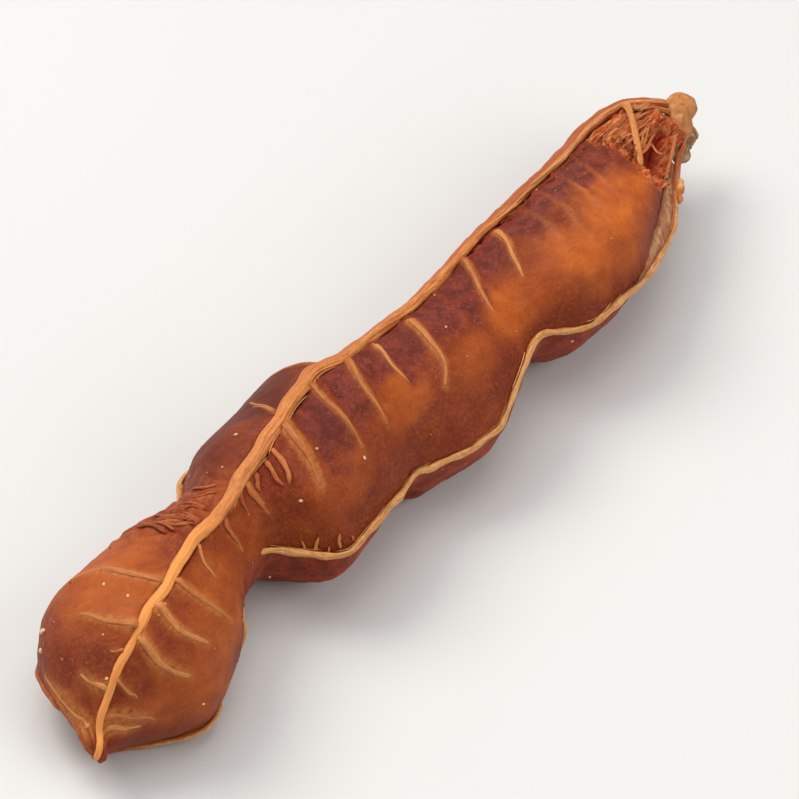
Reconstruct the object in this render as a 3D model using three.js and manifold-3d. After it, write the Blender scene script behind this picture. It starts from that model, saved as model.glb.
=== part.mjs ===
// A peeled tamarind pod lying on its flank: four lobes of pulp that end in a beak, the thick strand
// that runs from the stalk to the beak, a thin strand down each margin, and the broken woody stalk.
// Millimetres. +X runs from the beak to the stalk and +Z is up. The origin is on the surface that
// the pod lies on, under the middle of its box.
import * as THREE from "three";
import { mergeVertices } from "three/addons/utils/BufferGeometryUtils.js";
import Module from "manifold-3d";

const wasm = await Module();
wasm.setup();

// ---- Driving dimensions -------------------------------------------------------------------

const GAP = 0.3; // clearance between neighbouring pieces
const TIGHT_GAP = 0.2; // least clearance of a strand where the pulp bulges up against it

// The pod, section by section from the beak to the stalk. y and z are the section's middle. strand,
// keel and flank are the pulp's reach towards the thick strand, away from it, and to either side.
// turn is the thick strand's direction from +Y towards +Z, in degrees. near and far are the two
// margins' angles round the section from the thick strand. cord is the thick strand's half width.
const COURSE = [
  [-58.0, 0.0, 5.8, 1.1, 1.1, 1.1, 118, 120, 96, 0.36],
  [-56.6, 1.4, 6.1, 1.5, 1.5, 1.8, 118, 126, 102, 0.40],
  [-55.4, 2.7, 6.6, 3.0, 3.0, 3.8, 117, 130, 120, 0.44],
  [-52.0, 4.3, 7.3, 6.8, 6.4, 7.2, 113, 131, 136, 0.50],
  [-46.0, 4.0, 8.0, 8.7, 8.0, 9.9, 101, 115, 140, 0.62],
  [-39.0, 4.9, 8.3, 8.4, 8.2, 8.8, 99, 130, 128, 0.72],
  [-33.5, 6.0, 8.6, 7.4, 5.8, 6.1, 103, 58, 114, 0.78],
  [-28.5, 6.0, 8.4, 6.8, 7.0, 5.4, 96, 74, 104, 0.84],
  [-23.0, 4.4, 8.5, 8.4, 8.8, 10.1, 81, 94, 98, 0.88],
  [-17.5, 4.5, 8.7, 8.7, 8.7, 10.2, 76, 96, 98, 0.92],
  [-12.0, 4.7, 9.0, 8.4, 6.4, 9.7, 72, 112, 98, 0.96],
  [-7.0, 2.1, 8.9, 8.2, 9.6, 6.6, 57, 119, 97, 1.00],
  [1.0, 0.6, 8.4, 7.9, 9.0, 7.5, 39, 134, 94, 1.04],
  [7.0, 0.5, 8.2, 7.3, 7.3, 7.2, 33, 124, 92, 1.06],
  [13.0, 0.3, 8.2, 7.4, 5.0, 5.9, 29, 132, 90, 1.08],
  [19.0, -0.4, 8.4, 8.2, 7.6, 7.8, 29, 142, 84, 1.10],
  [26.0, -1.0, 8.6, 8.5, 7.6, 8.5, 29, 143, 80, 1.12],
  [35.0, -0.3, 8.3, 7.7, 5.4, 7.2, 28, 154, 84, 1.15],
  [41.0, 0.6, 8.4, 7.1, 3.7, 5.6, 26, 150, 92, 1.15],
  [46.0, 1.4, 8.7, 5.7, 2.4, 4.6, 26, 141, 100, 1.08],
  [50.0, 1.8, 9.0, 4.0, 2.6, 3.2, 28, 138, 105, 0.95],
].map(([x, y, z, strand, keel, flank, turn, near, far, cord]) => {
  return { x, y, z, strand, keel, flank, turn, near, far, cord };
});
const EGG = 0.12; // how much narrower a section is near the thick strand than near the keel
const BEAK_ROUND = 0.8; // length over which the beak's tip closes
const STALK_ROUND = 2.5; // length over which the pulp closes under the stalk
const SINK = 0.2; // how far the lobes press flat on what they lie on

const PULP_SIDES = 32; // facets round a section
const PULP_STATIONS = 78; // rings from the beak to the stalk
const SEAM_SIDES = 12; // facets from the thick strand to each margin
const SEAM_RIDGE = 0.25; // how far the pulp rises under a margin strand
const FURROW = 0.57; // depth of the thick strand's furrow over the strand's half width
const FURROW_SHARE = 0.24; // its greatest depth as a share of the pulp's reach under it

// The pulp is torn hollow under the stalk, beside the near margin. size is its three half sizes.
const HOLLOW = { x: 43.5, angle: 98, rise: 0.7, size: [3.2, 1.9, 2.1] };
const HOLLOW_FACETS = { sides: 14, rings: 10 };

// The cross veins of the near flank. root and tip are angles round the section in degrees, x is
// where the vein leaves the thick strand, and lean is how far along the pod its tip lies.
const VEINS = [
  { x: -56.6, root: 14, tip: 64, lean: 4.2 },
  { x: -55.2, root: 14, tip: 56, lean: 2.6 },
  { x: -53.3, root: 8, tip: 32, lean: 0.4 },
  { x: -50.0, root: 9, tip: 46, lean: 1.6 },
  { x: -46.8, root: 6, tip: 47, lean: 2.2 },
  { x: -42.2, root: 5, tip: 52, lean: 1.2 },
  { x: -37.2, root: 4, tip: 18, lean: -1.2 },
  { x: -32.4, root: 8, tip: 48, lean: -0.2 },
  { x: -30.1, root: 6, tip: 27, lean: 0.1 },
  { x: -27.4, root: 5, tip: 45, lean: -0.4 },
  { x: -25.7, root: 5, tip: 22, lean: 0.4 },
  { x: -23.8, root: 6, tip: 32, lean: -0.8 },
  { x: -20.5, root: 8, tip: 47, lean: -2.2 },
  { x: -14.5, root: 9, tip: 55, lean: -2.1 },
  { x: -8.7, root: 12, tip: 64, lean: -3.0 },
  { x: -4.5, root: 20, tip: 54, lean: -1.0 },
  { x: 1.3, root: 24, tip: 78, lean: -2.8 },
  { x: 13.3, root: 24, tip: 72, lean: -4.4 },
  { x: 18.5, root: 22, tip: 68, lean: -3.6 },
  { x: 25.5, root: 16, tip: 54, lean: -2.6 },
  { x: 31.5, root: 14, tip: 52, lean: -1.8 },
  { x: 37.0, root: 14, tip: 46, lean: -1.0 },
];
const VEIN_HALF = 0.5; // half width of a vein at its root
const VEIN_LIFT = 0.14; // how far a vein's middle rides above the skin
const VEIN_TAPER = 0.5; // share of its width that a vein loses by its tip
const FAR_VEIN_SHIFT = -1.4; // the far flank's veins leave the strand this much nearer the beak
const FAR_VEIN_STEP = 2; // only every second vein shows on the far flank
const VEIN_FACETS = { sides: 4, steps: 5 };

// The thick strand is a flattened cord, widest by the stalk.
const STRAND_FLATNESS = 0.66; // its height over its width
const STRAND_LIFT = 0.4; // how far its middle rides above the skin over its half width
const STRAND_WANDER = 1.1; // degrees that it sways to either side
const STRAND_FROM_X = -57.4; // where it bends over the beak's tip
const STRAND_TO_X = 48.0; // where it leaves the pulp for the stalk
const STRAND_TIP = new THREE.Vector3(-58.4, -0.2, 5.5); // where it ends on the beak
const STRAND_END = new THREE.Vector3(52.0, 2.8, 10.3); // where it meets the stalk
const STRAND_FACETS = { sides: 8, steps: 66 };

// The short side strand hangs from the thick one at x and ends reach degrees round the near flank.
const SIDE_STRAND = { x: 47.4, reach: 80, lean: -8.4, lift: 0.7, half: 0.55, halfAtTip: 0.3 };
const SIDE_FACETS = { sides: 6, steps: 10 };

const END_SHARE = 0.06; // the share of a strand's route that bends off the pulp to its end
const END_KNEE = 1.3; // how far it runs straight on before it bends
const TIP_SHARE = 0.03; // the share of the thick strand's route that bends over the beak's tip
const TIP_KNEE = 0.6;

// The two margin strands are thin and nearly round.
const MARGIN_HALF = 0.5;
const MARGIN_FROM_X = -55.8; // where they run out on the beak
const MARGIN_TO_X = 46.5; // where they leave the pulp for the stalk
const MARGIN_TAPER = 6; // length over which they thin out on the beak
const MARGIN_TIP = 0.6; // their width at the tip over their width elsewhere
const MARGIN_FLATNESS = 0.8;
const MARGIN_LIFT = SEAM_RIDGE + GAP + MARGIN_HALF * MARGIN_FLATNESS;
// The near one stands off the pulp where the pulp has shrunk from it by the stalk, and it dives into
// the fold between the last two lobes.
const STANDOFF = { x: 36.5, length: 5.5, rise: 1.1 };
const DIVE = { x: -32.6, length: 2.6, rise: -1.9 };
const MARGIN_WANDER = 1.2; // degrees that they sway to either side
const MARGIN_SHIFT = 9; // length by which their sway runs ahead of and behind the thick strand's
const MARGIN_FACETS = { sides: 6, steps: 66 };
const NEAR_END = new THREE.Vector3(50.2, 0.3, 7.6); // where each meets the stalk
const FAR_END = new THREE.Vector3(50.5, 1.7, 6.8);
const CLEARANCE = 0.15; // between a margin strand and what the pod lies on

// The stalk is broken off short: rounded lumps of wood grown together. at is a lump's middle and
// size is its three half sizes.
const LUMPS = [
  { at: [51.6, 1.2, 8.2], size: [1.9, 1.8, 2.3] },
  { at: [53.0, 1.7, 9.7], size: [2.0, 1.9, 1.5] },
  { at: [52.3, 0.1, 6.4], size: [1.35, 1.3, 2.1] },
  { at: [51.2, -0.3, 5.0], size: [0.9, 0.9, 1.2] },
];
const BARK = 0.12; // height of the bark's bumps over a lump's size
const BARK_WAVES = [5, 6, 4]; // how often the bumps come along each of a lump's axes
const LUMP_FACETS = { sides: 12, rings: 8 };

// ---- Curves through the table -------------------------------------------------------------

const radians = THREE.MathUtils.degToRad;
const BEAK_X = COURSE[0].x;
const STALK_X = COURSE[COURSE.length - 1].x;

// A monotone cubic through one column of the table, so a lobe never bulges past its stated size.
function along(key, x) {
  const last = COURSE.length - 1;
  if (x <= BEAK_X) return COURSE[0][key];
  if (x >= STALK_X) return COURSE[last][key];
  const slope = (i) => (COURSE[i + 1][key] - COURSE[i][key]) / (COURSE[i + 1].x - COURSE[i].x);
  const tangent = (i) => {
    if (i === 0) return slope(0);
    if (i === last) return slope(last - 1);
    const before = slope(i - 1);
    const after = slope(i);
    return before * after <= 0 ? 0 : (2 * before * after) / (before + after);
  };
  let i = 0;
  while (x > COURSE[i + 1].x) i += 1;
  const span = COURSE[i + 1].x - COURSE[i].x;
  const t = (x - COURSE[i].x) / span;
  return (
    COURSE[i][key] * (1 + 2 * t) * (1 - t) ** 2 +
    tangent(i) * span * t * (1 - t) ** 2 +
    COURSE[i + 1][key] * t * t * (3 - 2 * t) +
    tangent(i + 1) * span * t * t * (t - 1)
  );
}

// 0 at the very ends of the pulp and 1 along the rest of it, round as a quarter circle between.
function closing(x) {
  const fromBeak = THREE.MathUtils.clamp((x - BEAK_X) / BEAK_ROUND, 0, 1);
  const fromStalk = THREE.MathUtils.clamp((STALK_X - x) / STALK_ROUND, 0, 1);
  return Math.sqrt((1 - (1 - fromBeak) ** 2) * (1 - (1 - fromStalk) ** 2));
}

// The point of the skin at x and at angle a round the section from the thick strand. A positive
// angle is on the near flank.
function skin(x, a) {
  const turn = radians(along("turn", x));
  const reach = along(Math.cos(a) > 0 ? "strand" : "keel", x) * closing(x);
  const towards = Math.cos(a) * reach;
  const aside = Math.sin(a) * along("flank", x) * closing(x) * (1 - EGG * Math.cos(a));
  return new THREE.Vector3(
    x,
    along("y", x) + towards * Math.cos(turn) - aside * Math.sin(turn),
    along("z", x) - SINK + towards * Math.sin(turn) + aside * Math.cos(turn),
  );
}

// The direction out of the skin at that point.
function outward(x, a) {
  const [dx, da] = [0.2, 0.05];
  const alongPod = skin(x + dx, a).sub(skin(x - dx, a));
  const roundPod = skin(x, a + da).sub(skin(x, a - da));
  return roundPod.cross(alongPod).normalize();
}

const raised = (x, a, rise) => skin(x, a).addScaledVector(outward(x, a), rise);

// The slow sway of a strand from side to side, about -1 to 1.
const sway = (x) => 0.6 * Math.sin(0.55 * x) + 0.4 * Math.sin(1.27 * x + 1);

const strandAngle = (x) => radians(STRAND_WANDER * sway(x));

const marginAngle = (x, near) =>
  near ? radians(along("near", x) + MARGIN_WANDER * sway(x + MARGIN_SHIFT))
    : -radians(along("far", x) + MARGIN_WANDER * sway(x - MARGIN_SHIFT));

const strandHalf = (x) => along("cord", x);

// ---- Solids -------------------------------------------------------------------------------

function solidOf(geometry) {
  const bare = geometry.clone();
  bare.deleteAttribute("normal");
  bare.deleteAttribute("uv");
  const merged = mergeVertices(bare, 1e-4);
  return new wasm.Manifold(
    new wasm.Mesh({
      numProp: 3,
      vertProperties: new Float32Array(merged.attributes.position.array),
      triVerts: new Uint32Array(merged.index.array),
    }),
  );
}

function meshOf(name, solid, material) {
  const cut = solid.getMesh();
  const geometry = new THREE.BufferGeometry();
  geometry.setAttribute("position", new THREE.BufferAttribute(cut.vertProperties, 3));
  geometry.setIndex(new THREE.BufferAttribute(cut.triVerts, 1));
  geometry.computeVertexNormals();
  const mesh = new THREE.Mesh(geometry, material);
  mesh.name = name;
  return mesh;
}

// ---- Pulp ---------------------------------------------------------------------------------

// The lobes as one closed skin, pressed flat where they lie on something. Its columns of facets
// follow the strands: they sink into a furrow under the thick one and stand up under the thin ones.
function lobes() {
  const seam = (2 * Math.PI * SEAM_SIDES) / PULP_SIDES;
  const tiny = 0.01; // tells the columns and rings under a strand from their neighbours
  const ball = new THREE.SphereGeometry(1, PULP_SIDES, PULP_STATIONS);
  const p = ball.attributes.position;
  for (let i = 0; i < p.count; i += 1) {
    const t = 1 - Math.acos(THREE.MathUtils.clamp(p.getY(i), -1, 1)) / Math.PI;
    const x = THREE.MathUtils.lerp(BEAK_X, STALK_X, t);
    const u = -Math.atan2(p.getZ(i), p.getX(i));
    const margin = Math.abs(marginAngle(x, u > 0));
    const part = Math.abs(u) / seam;
    const beyond = (Math.abs(u) - seam) / (Math.PI - seam);
    const a = part < 1 ? u * (margin / seam) + strandAngle(x) * (1 - part)
      : Math.sign(u) * THREE.MathUtils.lerp(margin, Math.PI, beyond);
    const furrow = FURROW * strandHalf(x);
    let rise = 0;
    if (Math.abs(part - 1) < tiny) rise = SEAM_RIDGE;
    if (part < tiny) rise = -Math.min(furrow, FURROW_SHARE * along("strand", x));
    const at = closing(x) < tiny ? skin(x, a) : raised(x, a, rise * closing(x));
    p.setXYZ(i, at.x, at.y, Math.max(at.z, 0));
  }
  return solidOf(ball);
}

// A closed cord. route(t) gives its middle, its outward direction and its half width for t from 0
// to 1. swell makes it fatter all round, as a cutter.
function cord(route, { sides, steps, flatness, swell = 0 }) {
  const rod = new THREE.CylinderGeometry(1, 1, 1, sides, steps);
  const p = rod.attributes.position;
  const step = 0.5 / steps;
  for (let i = 0; i < p.count; i += 1) {
    const t = p.getY(i) + 0.5;
    const { at, out, half } = route(t);
    const ahead = route(Math.min(t + step, 1)).at;
    const behind = route(Math.max(t - step, 0)).at;
    const forward = ahead.clone().sub(behind).normalize();
    const across = new THREE.Vector3().crossVectors(forward, out).normalize();
    const upward = new THREE.Vector3().crossVectors(across, forward);
    const end = t === 0 ? -1 : t === 1 ? 1 : 0;
    const where = at
      .clone()
      .addScaledVector(across, p.getX(i) * (half + swell))
      .addScaledVector(upward, p.getZ(i) * (half * flatness + swell))
      .addScaledVector(forward, end * swell);
    p.setXYZ(i, where.x, where.y, where.z);
  }
  return solidOf(rod);
}

// One cross vein of a flank, mostly sunk in the pulp. It starts no nearer than the thick strand's
// edge.
function vein({ x, root, tip, lean }, flankSign, shift) {
  const edge = (strandHalf(x) + GAP + VEIN_HALF) / along("strand", x);
  return cord(
    (t) => {
      const a = flankSign * THREE.MathUtils.lerp(Math.max(radians(root), edge), radians(tip), t);
      const here = x + shift + lean * t * t;
      return {
        at: raised(here, a, VEIN_LIFT),
        out: outward(here, a),
        half: VEIN_HALF * (1 - VEIN_TAPER * t),
      };
    },
    { ...VEIN_FACETS, flatness: 1 },
  );
}

// ---- Strands ------------------------------------------------------------------------------

// A bend that leaves last straight on, away from before, and ends at end.
function bend(before, last, knee, end) {
  const heading = last.clone().sub(before).normalize();
  return new THREE.QuadraticBezierCurve3(last, last.clone().addScaledVector(heading, knee), end);
}

// A route that follows the skin and bends off it to its end, and to its tip where it has one.
function skinRoute({ fromX, toX, angleAt, liftAt, halfAt, end, tip }) {
  const start = tip ? TIP_SHARE : 0;
  const leave = 1 - END_SHARE;
  const step = 0.01;
  const onSkin = (t) => {
    const x = THREE.MathUtils.lerp(fromX, toX, t);
    const at = raised(x, angleAt(x), liftAt(x));
    return { at, out: outward(x, angleAt(x)), half: halfAt(x) };
  };
  return (t) => {
    if (t < start) {
      const first = onSkin(0);
      const over = bend(onSkin(step).at, first.at, TIP_KNEE, tip);
      return { ...first, at: over.getPoint(1 - t / start) };
    }
    if (t <= leave) return onSkin((t - start) / (leave - start));
    const last = onSkin(1);
    const off = bend(onSkin(1 - step).at, last.at, END_KNEE, end);
    return { ...last, at: off.getPoint((t - leave) / (1 - leave)) };
  };
}

const clearOfFloor = (route, half) => (t) => {
  const place = route(t);
  place.at.z = Math.max(place.at.z, half + CLEARANCE);
  return place;
};

const strandRoute = skinRoute({
  fromX: STRAND_FROM_X,
  toX: STRAND_TO_X,
  angleAt: strandAngle,
  liftAt: (x) => STRAND_LIFT * strandHalf(x),
  halfAt: strandHalf,
  end: STRAND_END,
  tip: STRAND_TIP,
});

const sideRoute = (t) => {
  const a = radians(SIDE_STRAND.reach * t);
  const x = SIDE_STRAND.x + SIDE_STRAND.lean * t * t;
  const half = THREE.MathUtils.lerp(SIDE_STRAND.half, SIDE_STRAND.halfAtTip, t);
  return { at: raised(x, a, SIDE_STRAND.lift), out: outward(x, a), half };
};

function marginHalf(x) {
  const fromTip = THREE.MathUtils.clamp((x - MARGIN_FROM_X) / MARGIN_TAPER, 0, 1);
  return MARGIN_HALF * THREE.MathUtils.lerp(MARGIN_TIP, 1, fromTip);
}

const swerve = ({ x: middle, length, rise }, x) => rise * Math.exp(-(((x - middle) / length) ** 2));

const marginRoute = (near) =>
  clearOfFloor(
    skinRoute({
      fromX: MARGIN_FROM_X,
      toX: MARGIN_TO_X,
      angleAt: (x) => marginAngle(x, near),
      liftAt: (x) => MARGIN_LIFT + (near ? swerve(STANDOFF, x) + swerve(DIVE, x) : 0),
      halfAt: marginHalf,
      end: near ? NEAR_END : FAR_END,
    }),
    MARGIN_HALF,
  );

const mainStrand = (swell) =>
  cord(strandRoute, { ...STRAND_FACETS, flatness: STRAND_FLATNESS, swell }).add(
    cord(sideRoute, { ...SIDE_FACETS, flatness: MARGIN_FLATNESS, swell }),
  );

const marginStrand = (near, swell) =>
  cord(marginRoute(near), { ...MARGIN_FACETS, flatness: MARGIN_FLATNESS, swell });

// ---- Stalk --------------------------------------------------------------------------------

function lump({ at, size }) {
  const ball = new THREE.SphereGeometry(1, LUMP_FACETS.sides, LUMP_FACETS.rings);
  const p = ball.attributes.position;
  for (let i = 0; i < p.count; i += 1) {
    const d = new THREE.Vector3().fromBufferAttribute(p, i);
    const wave = (n) => Math.sin(BARK_WAVES[n] * d.getComponent(n) + at[n]);
    const out = 1 + BARK * wave(0) * wave(1) * wave(2);
    const place = (n) => at[n] + out * size[n] * d.getComponent(n);
    p.setXYZ(i, place(0), place(1), place(2));
  }
  return solidOf(ball);
}

// ---- The pod ------------------------------------------------------------------------------

function hollow() {
  const cutter = new THREE.SphereGeometry(1, HOLLOW_FACETS.sides, HOLLOW_FACETS.rings);
  const middle = raised(HOLLOW.x, radians(HOLLOW.angle), HOLLOW.rise);
  cutter.scale(...HOLLOW.size).translate(middle.x, middle.y, middle.z);
  return solidOf(cutter);
}

const strands = (swell) =>
  mainStrand(swell).add(marginStrand(true, swell)).add(marginStrand(false, swell));

let pulp = lobes();
VEINS.forEach((row, i) => {
  pulp = pulp.add(vein(row, 1, 0));
  if (i % FAR_VEIN_STEP === 0) pulp = pulp.add(vein(row, -1, FAR_VEIN_SHIFT));
});

const stalk = LUMPS.map(lump)
  .reduce((wood, one) => wood.add(one))
  .subtract(pulp.translate([GAP, 0, 0]))
  .subtract(strands(GAP));
pulp = pulp.subtract(strands(TIGHT_GAP)).subtract(hollow());

const finish = (color, roughness) => new THREE.MeshStandardMaterial({ color, roughness });
const fibre = finish(0xd08a48, 0.6);
const thinFibre = finish(0xd9a04e, 0.55);

const pieces = new THREE.Group();
pieces.add(
  meshOf("pulp", pulp, finish(0x7a3a1c, 0.4)),
  meshOf("main_strand", mainStrand(0), fibre),
  meshOf("margin_strand_near", marginStrand(true, 0), thinFibre),
  meshOf("margin_strand_far", marginStrand(false, 0), thinFibre),
  meshOf("stalk", stalk, finish(0x9c8468, 0.85)),
);

// The origin goes under the middle of the pod's box.
const box = new THREE.Box3().setFromObject(pieces);
const middle = box.getCenter(new THREE.Vector3());
pieces.position.set(-middle.x, -middle.y, -box.min.z);
const pod = new THREE.Group();
pod.add(pieces);

export default pod;
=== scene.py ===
"""A peeled tamarind pod lying on its flank, dressed over its CAD solids.

Lengths in the tables and formulas are millimetres, angles are degrees where a name or comment
says so, and a mesh is turned to metres when its piece is made.
"""

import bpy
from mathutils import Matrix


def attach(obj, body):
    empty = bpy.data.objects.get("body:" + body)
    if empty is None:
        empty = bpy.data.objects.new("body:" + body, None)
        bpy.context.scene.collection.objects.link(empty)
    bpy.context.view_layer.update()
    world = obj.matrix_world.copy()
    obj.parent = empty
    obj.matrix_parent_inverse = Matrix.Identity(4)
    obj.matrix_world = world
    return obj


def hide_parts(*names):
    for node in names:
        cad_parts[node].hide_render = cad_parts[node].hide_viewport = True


bl_info = {
    "name": "Tamarind Pod",
    "version": (1, 0, 0),
    "blender": (4, 5, 0),
    "location": "3D View > Sidebar > Tamarind",
    "description": "Flesh, strands, stalk and stage of one peeled tamarind pod",
    "category": "Add Mesh",
}

import itertools
import math

import bmesh
import bpy
import numpy as np
from mathutils import Matrix, Vector

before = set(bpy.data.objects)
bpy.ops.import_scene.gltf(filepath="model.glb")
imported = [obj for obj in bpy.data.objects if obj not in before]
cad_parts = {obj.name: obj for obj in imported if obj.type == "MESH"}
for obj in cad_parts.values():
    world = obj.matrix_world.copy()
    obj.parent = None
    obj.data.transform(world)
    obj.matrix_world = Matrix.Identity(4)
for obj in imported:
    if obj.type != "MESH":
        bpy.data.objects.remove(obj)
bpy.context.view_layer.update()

MM = 0.001
RADIAN = 57.3  # degrees
SHIFT = np.array([1.8546, -2.5816, 0.0])  # from the course's origin to the frame's

# ---- The pod's form -------------------------------------------------------------------------

# Section by section from the beak to the stalk: x, the section's middle y and z, its reach towards
# the thick strand, towards the keel and to either side, the thick strand's direction from +Y
# towards +Z, the near and far margins' angles from the thick strand, and that strand's half width.
COURSE = np.array(
    [
        (-58.0, 0.0, 5.8, 1.1, 1.1, 1.1, 118, 120, 96, 0.36),
        (-56.6, 1.4, 6.1, 1.5, 1.5, 1.8, 118, 126, 102, 0.40),
        (-55.4, 2.7, 6.6, 3.0, 3.0, 3.8, 117, 130, 120, 0.44),
        (-52.0, 4.3, 7.3, 6.8, 6.4, 7.2, 113, 131, 136, 0.50),
        (-46.0, 4.0, 8.0, 8.7, 8.0, 9.9, 101, 115, 140, 0.62),
        (-39.0, 4.9, 8.3, 8.4, 8.2, 8.8, 99, 130, 128, 0.72),
        (-33.5, 6.0, 8.6, 7.4, 5.8, 6.1, 103, 58, 114, 0.78),
        (-28.5, 6.0, 8.4, 6.8, 7.0, 5.4, 96, 74, 104, 0.84),
        (-23.0, 4.4, 8.5, 8.4, 8.8, 10.1, 81, 94, 98, 0.88),
        (-17.5, 4.5, 8.7, 8.7, 8.7, 10.2, 76, 96, 98, 0.92),
        (-12.0, 4.7, 9.0, 8.4, 6.4, 9.7, 72, 112, 98, 0.96),
        (-7.0, 2.1, 8.9, 8.2, 9.6, 6.6, 57, 119, 97, 1.00),
        (1.0, 0.6, 8.4, 7.9, 9.0, 7.5, 39, 134, 94, 1.04),
        (7.0, 0.5, 8.2, 7.3, 7.3, 7.2, 33, 124, 92, 1.06),
        (13.0, 0.3, 8.2, 7.4, 5.0, 5.9, 29, 132, 90, 1.08),
        (19.0, -0.4, 8.4, 8.2, 7.6, 7.8, 29, 142, 84, 1.10),
        (26.0, -1.0, 8.6, 8.5, 7.6, 8.5, 29, 143, 80, 1.12),
        (35.0, -0.3, 8.3, 7.7, 5.4, 7.2, 28, 154, 84, 1.15),
        (41.0, 0.6, 8.4, 7.1, 3.7, 5.6, 26, 150, 92, 1.15),
        (46.0, 1.4, 8.7, 5.7, 2.4, 4.6, 26, 141, 100, 1.08),
        (50.0, 1.8, 9.0, 4.0, 2.6, 3.2, 28, 138, 105, 0.95),
    ]
).T
COLUMNS = ("x", "y", "z", "strand", "keel", "flank", "turn", "near", "far", "cord")
BEAK_X, STALK_X = COURSE[0][0], COURSE[0][-1]
EGG = 0.12  # how much narrower a section is near the thick strand
BEAK_ROUND, STALK_ROUND = 0.8, 2.5  # lengths over which the two ends close
SINK = 0.2  # how far the lobes press flat on what they lie on

# The cross veins: how bold each is, and its path of (x, angle round the section in degrees) from
# its root. Negative angles are on the far flank.
VEINS = [
    (0.95, [(19.6, 20), (18.6, 38), (17.0, 55), (15.5, 74)]),
    (0.9, [(14.6, 20), (13.5, 35), (11.3, 58), (9.6, 77)]),
    (1.2, [(2.8, 22), (1.7, 37), (0.4, 56), (-0.4, 70), (-2.4, 82)]),
    (0.8, [(-3.5, 16), (-3.9, 27), (-4.9, 44), (-5.2, 62)]),
    (0.95, [(-8.0, 12), (-9.6, 32), (-10.5, 48), (-11.6, 64)]),
    (0.9, [(-13.3, 3), (-14.2, 20), (-14.7, 33), (-15.3, 45), (-15.9, 57)]),
    (1.5, [(-19.3, 2), (-20.7, 23), (-21.5, 36), (-22.4, 47)]),
    (0.9, [(-26.7, 2), (-27.3, 24), (-27.1, 46)]),
    (0.8, [(-28.1, 2), (-28.8, 17), (-29.0, 33)]),
    (1.1, [(-31.9, 2), (-32.7, 22), (-32.4, 47)]),
    (0.6, [(-37.0, 1), (-38.3, 18), (-38.5, 30)]),
    (1.25, [(-42.6, 0), (-42.2, 14), (-41.5, 32), (-40.2, 54)]),
    (1.25, [(-46.2, 0), (-46.4, 20), (-45.7, 32), (-44.4, 46)]),
    (1.25, [(-49.3, 0), (-49.7, 23), (-49.0, 36), (-47.8, 50)]),
    (0.7, [(-53.0, 0), (-53.0, 23), (-52.7, 34)]),
    (1.0, [(-55.9, 4), (-53.7, 44), (-51.8, 66)]),
    (0.95, [(-56.7, 6), (-54.7, 51), (-53.0, 64)]),
    (1.25, [(-43.4, 0), (-44.5, -30), (-44.8, -51), (-46.2, -70)]),
    (1.15, [(-48.7, 0), (-49.5, -16), (-49.9, -29), (-50.2, -50)]),
    (0.6, [(-51.0, 0), (-51.8, -14)]),
    (1.0, [(-53.9, 0), (-54.3, -20), (-54.1, -42)]),
    (0.9, [(-56.7, -40), (-56.3, -76), (-55.3, -104), (-53.9, -112)]),
    (0.7, [(-18.2, -8), (-16.5, -40)]),
    (0.8, [(-10.1, -12), (-12.6, -62)]),
    (0.8, [(0.0, -20), (-2.2, -74)]),
    (0.8, [(11.6, -18), (9.0, -70)]),
    (0.8, [(17.2, -18), (14.0, -66)]),
    (0.8, [(30.0, -14), (28.6, -52)]),
]
# The paths of fainter ribs that fan from the strand.
RIBS = [
    [(38.0, 12), (36.8, 40)],
    [(-5.8, 16), (-6.8, 40)],
    [(-17.0, 8), (-17.8, 38)],
    [(-35.0, 5), (-35.8, 30)],
    [(-44.2, 5), (-43.6, 26)],
    [(-51.4, 6), (-50.8, 24)],
    [(-47.0, -5), (-47.4, -24)],
    [(-39.6, -5), (-38.8, -30)],
    [(-22.0, -6), (-21.4, -34)],
    [(24.0, -14), (22.4, -50)],
]
# How far to either side a vein, the swelling round it, a rib and the dent round a ridge at the
# waist reach.
VEIN_HALF, SWELL_HALF, RIB_HALF, CURL_HALF = 0.54, 1.1, 0.5, 0.85
# The plum-coloured cells between the cross veins: from x, to x, the angle where each fades and its
# strength. They lean towards the beak by CELL_SLANT mm a degree past FAN_ANGLE.
CELL_SLANT, FAN_ANGLE = 0.055, 20
CELLS = [
    (35.2, 39.6, 60, 0.75),
    (31.4, 35.0, 52, 0.95),
    (27.6, 31.2, 45, 0.95),
    (24.2, 27.4, 43, 0.9),
    (20.0, 24.0, 47, 1.0),
    (14.9, 19.2, 56, 1.0),
    (8.9, 14.2, 62, 1.0),
    (3.2, 8.7, 58, 1.0),
    (-3.2, 2.4, 60, 1.0),
    (-7.7, -3.8, 44, 0.9),
    (-13.2, -8.3, 44, 0.9),
    (-19.2, -13.8, 46, 1.0),
    (-22.4, -19.9, 32, 0.6),
    (-46.2, -42.8, 30, 0.15),
    (-49.4, -46.6, 40, 0.25),
    (-52.8, -49.8, 36, 0.25),
]
# Pale rays between the cells of the lobe by the stalk: x at the strand, and strength.
RAYS = [
    (22.2, 0.4), (24.1, 0.8), (27.5, 0.9), (29.3, 0.5),
    (31.3, 1.0), (33.3, 0.5), (35.1, 0.7), (36.8, 0.4),
]

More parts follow.
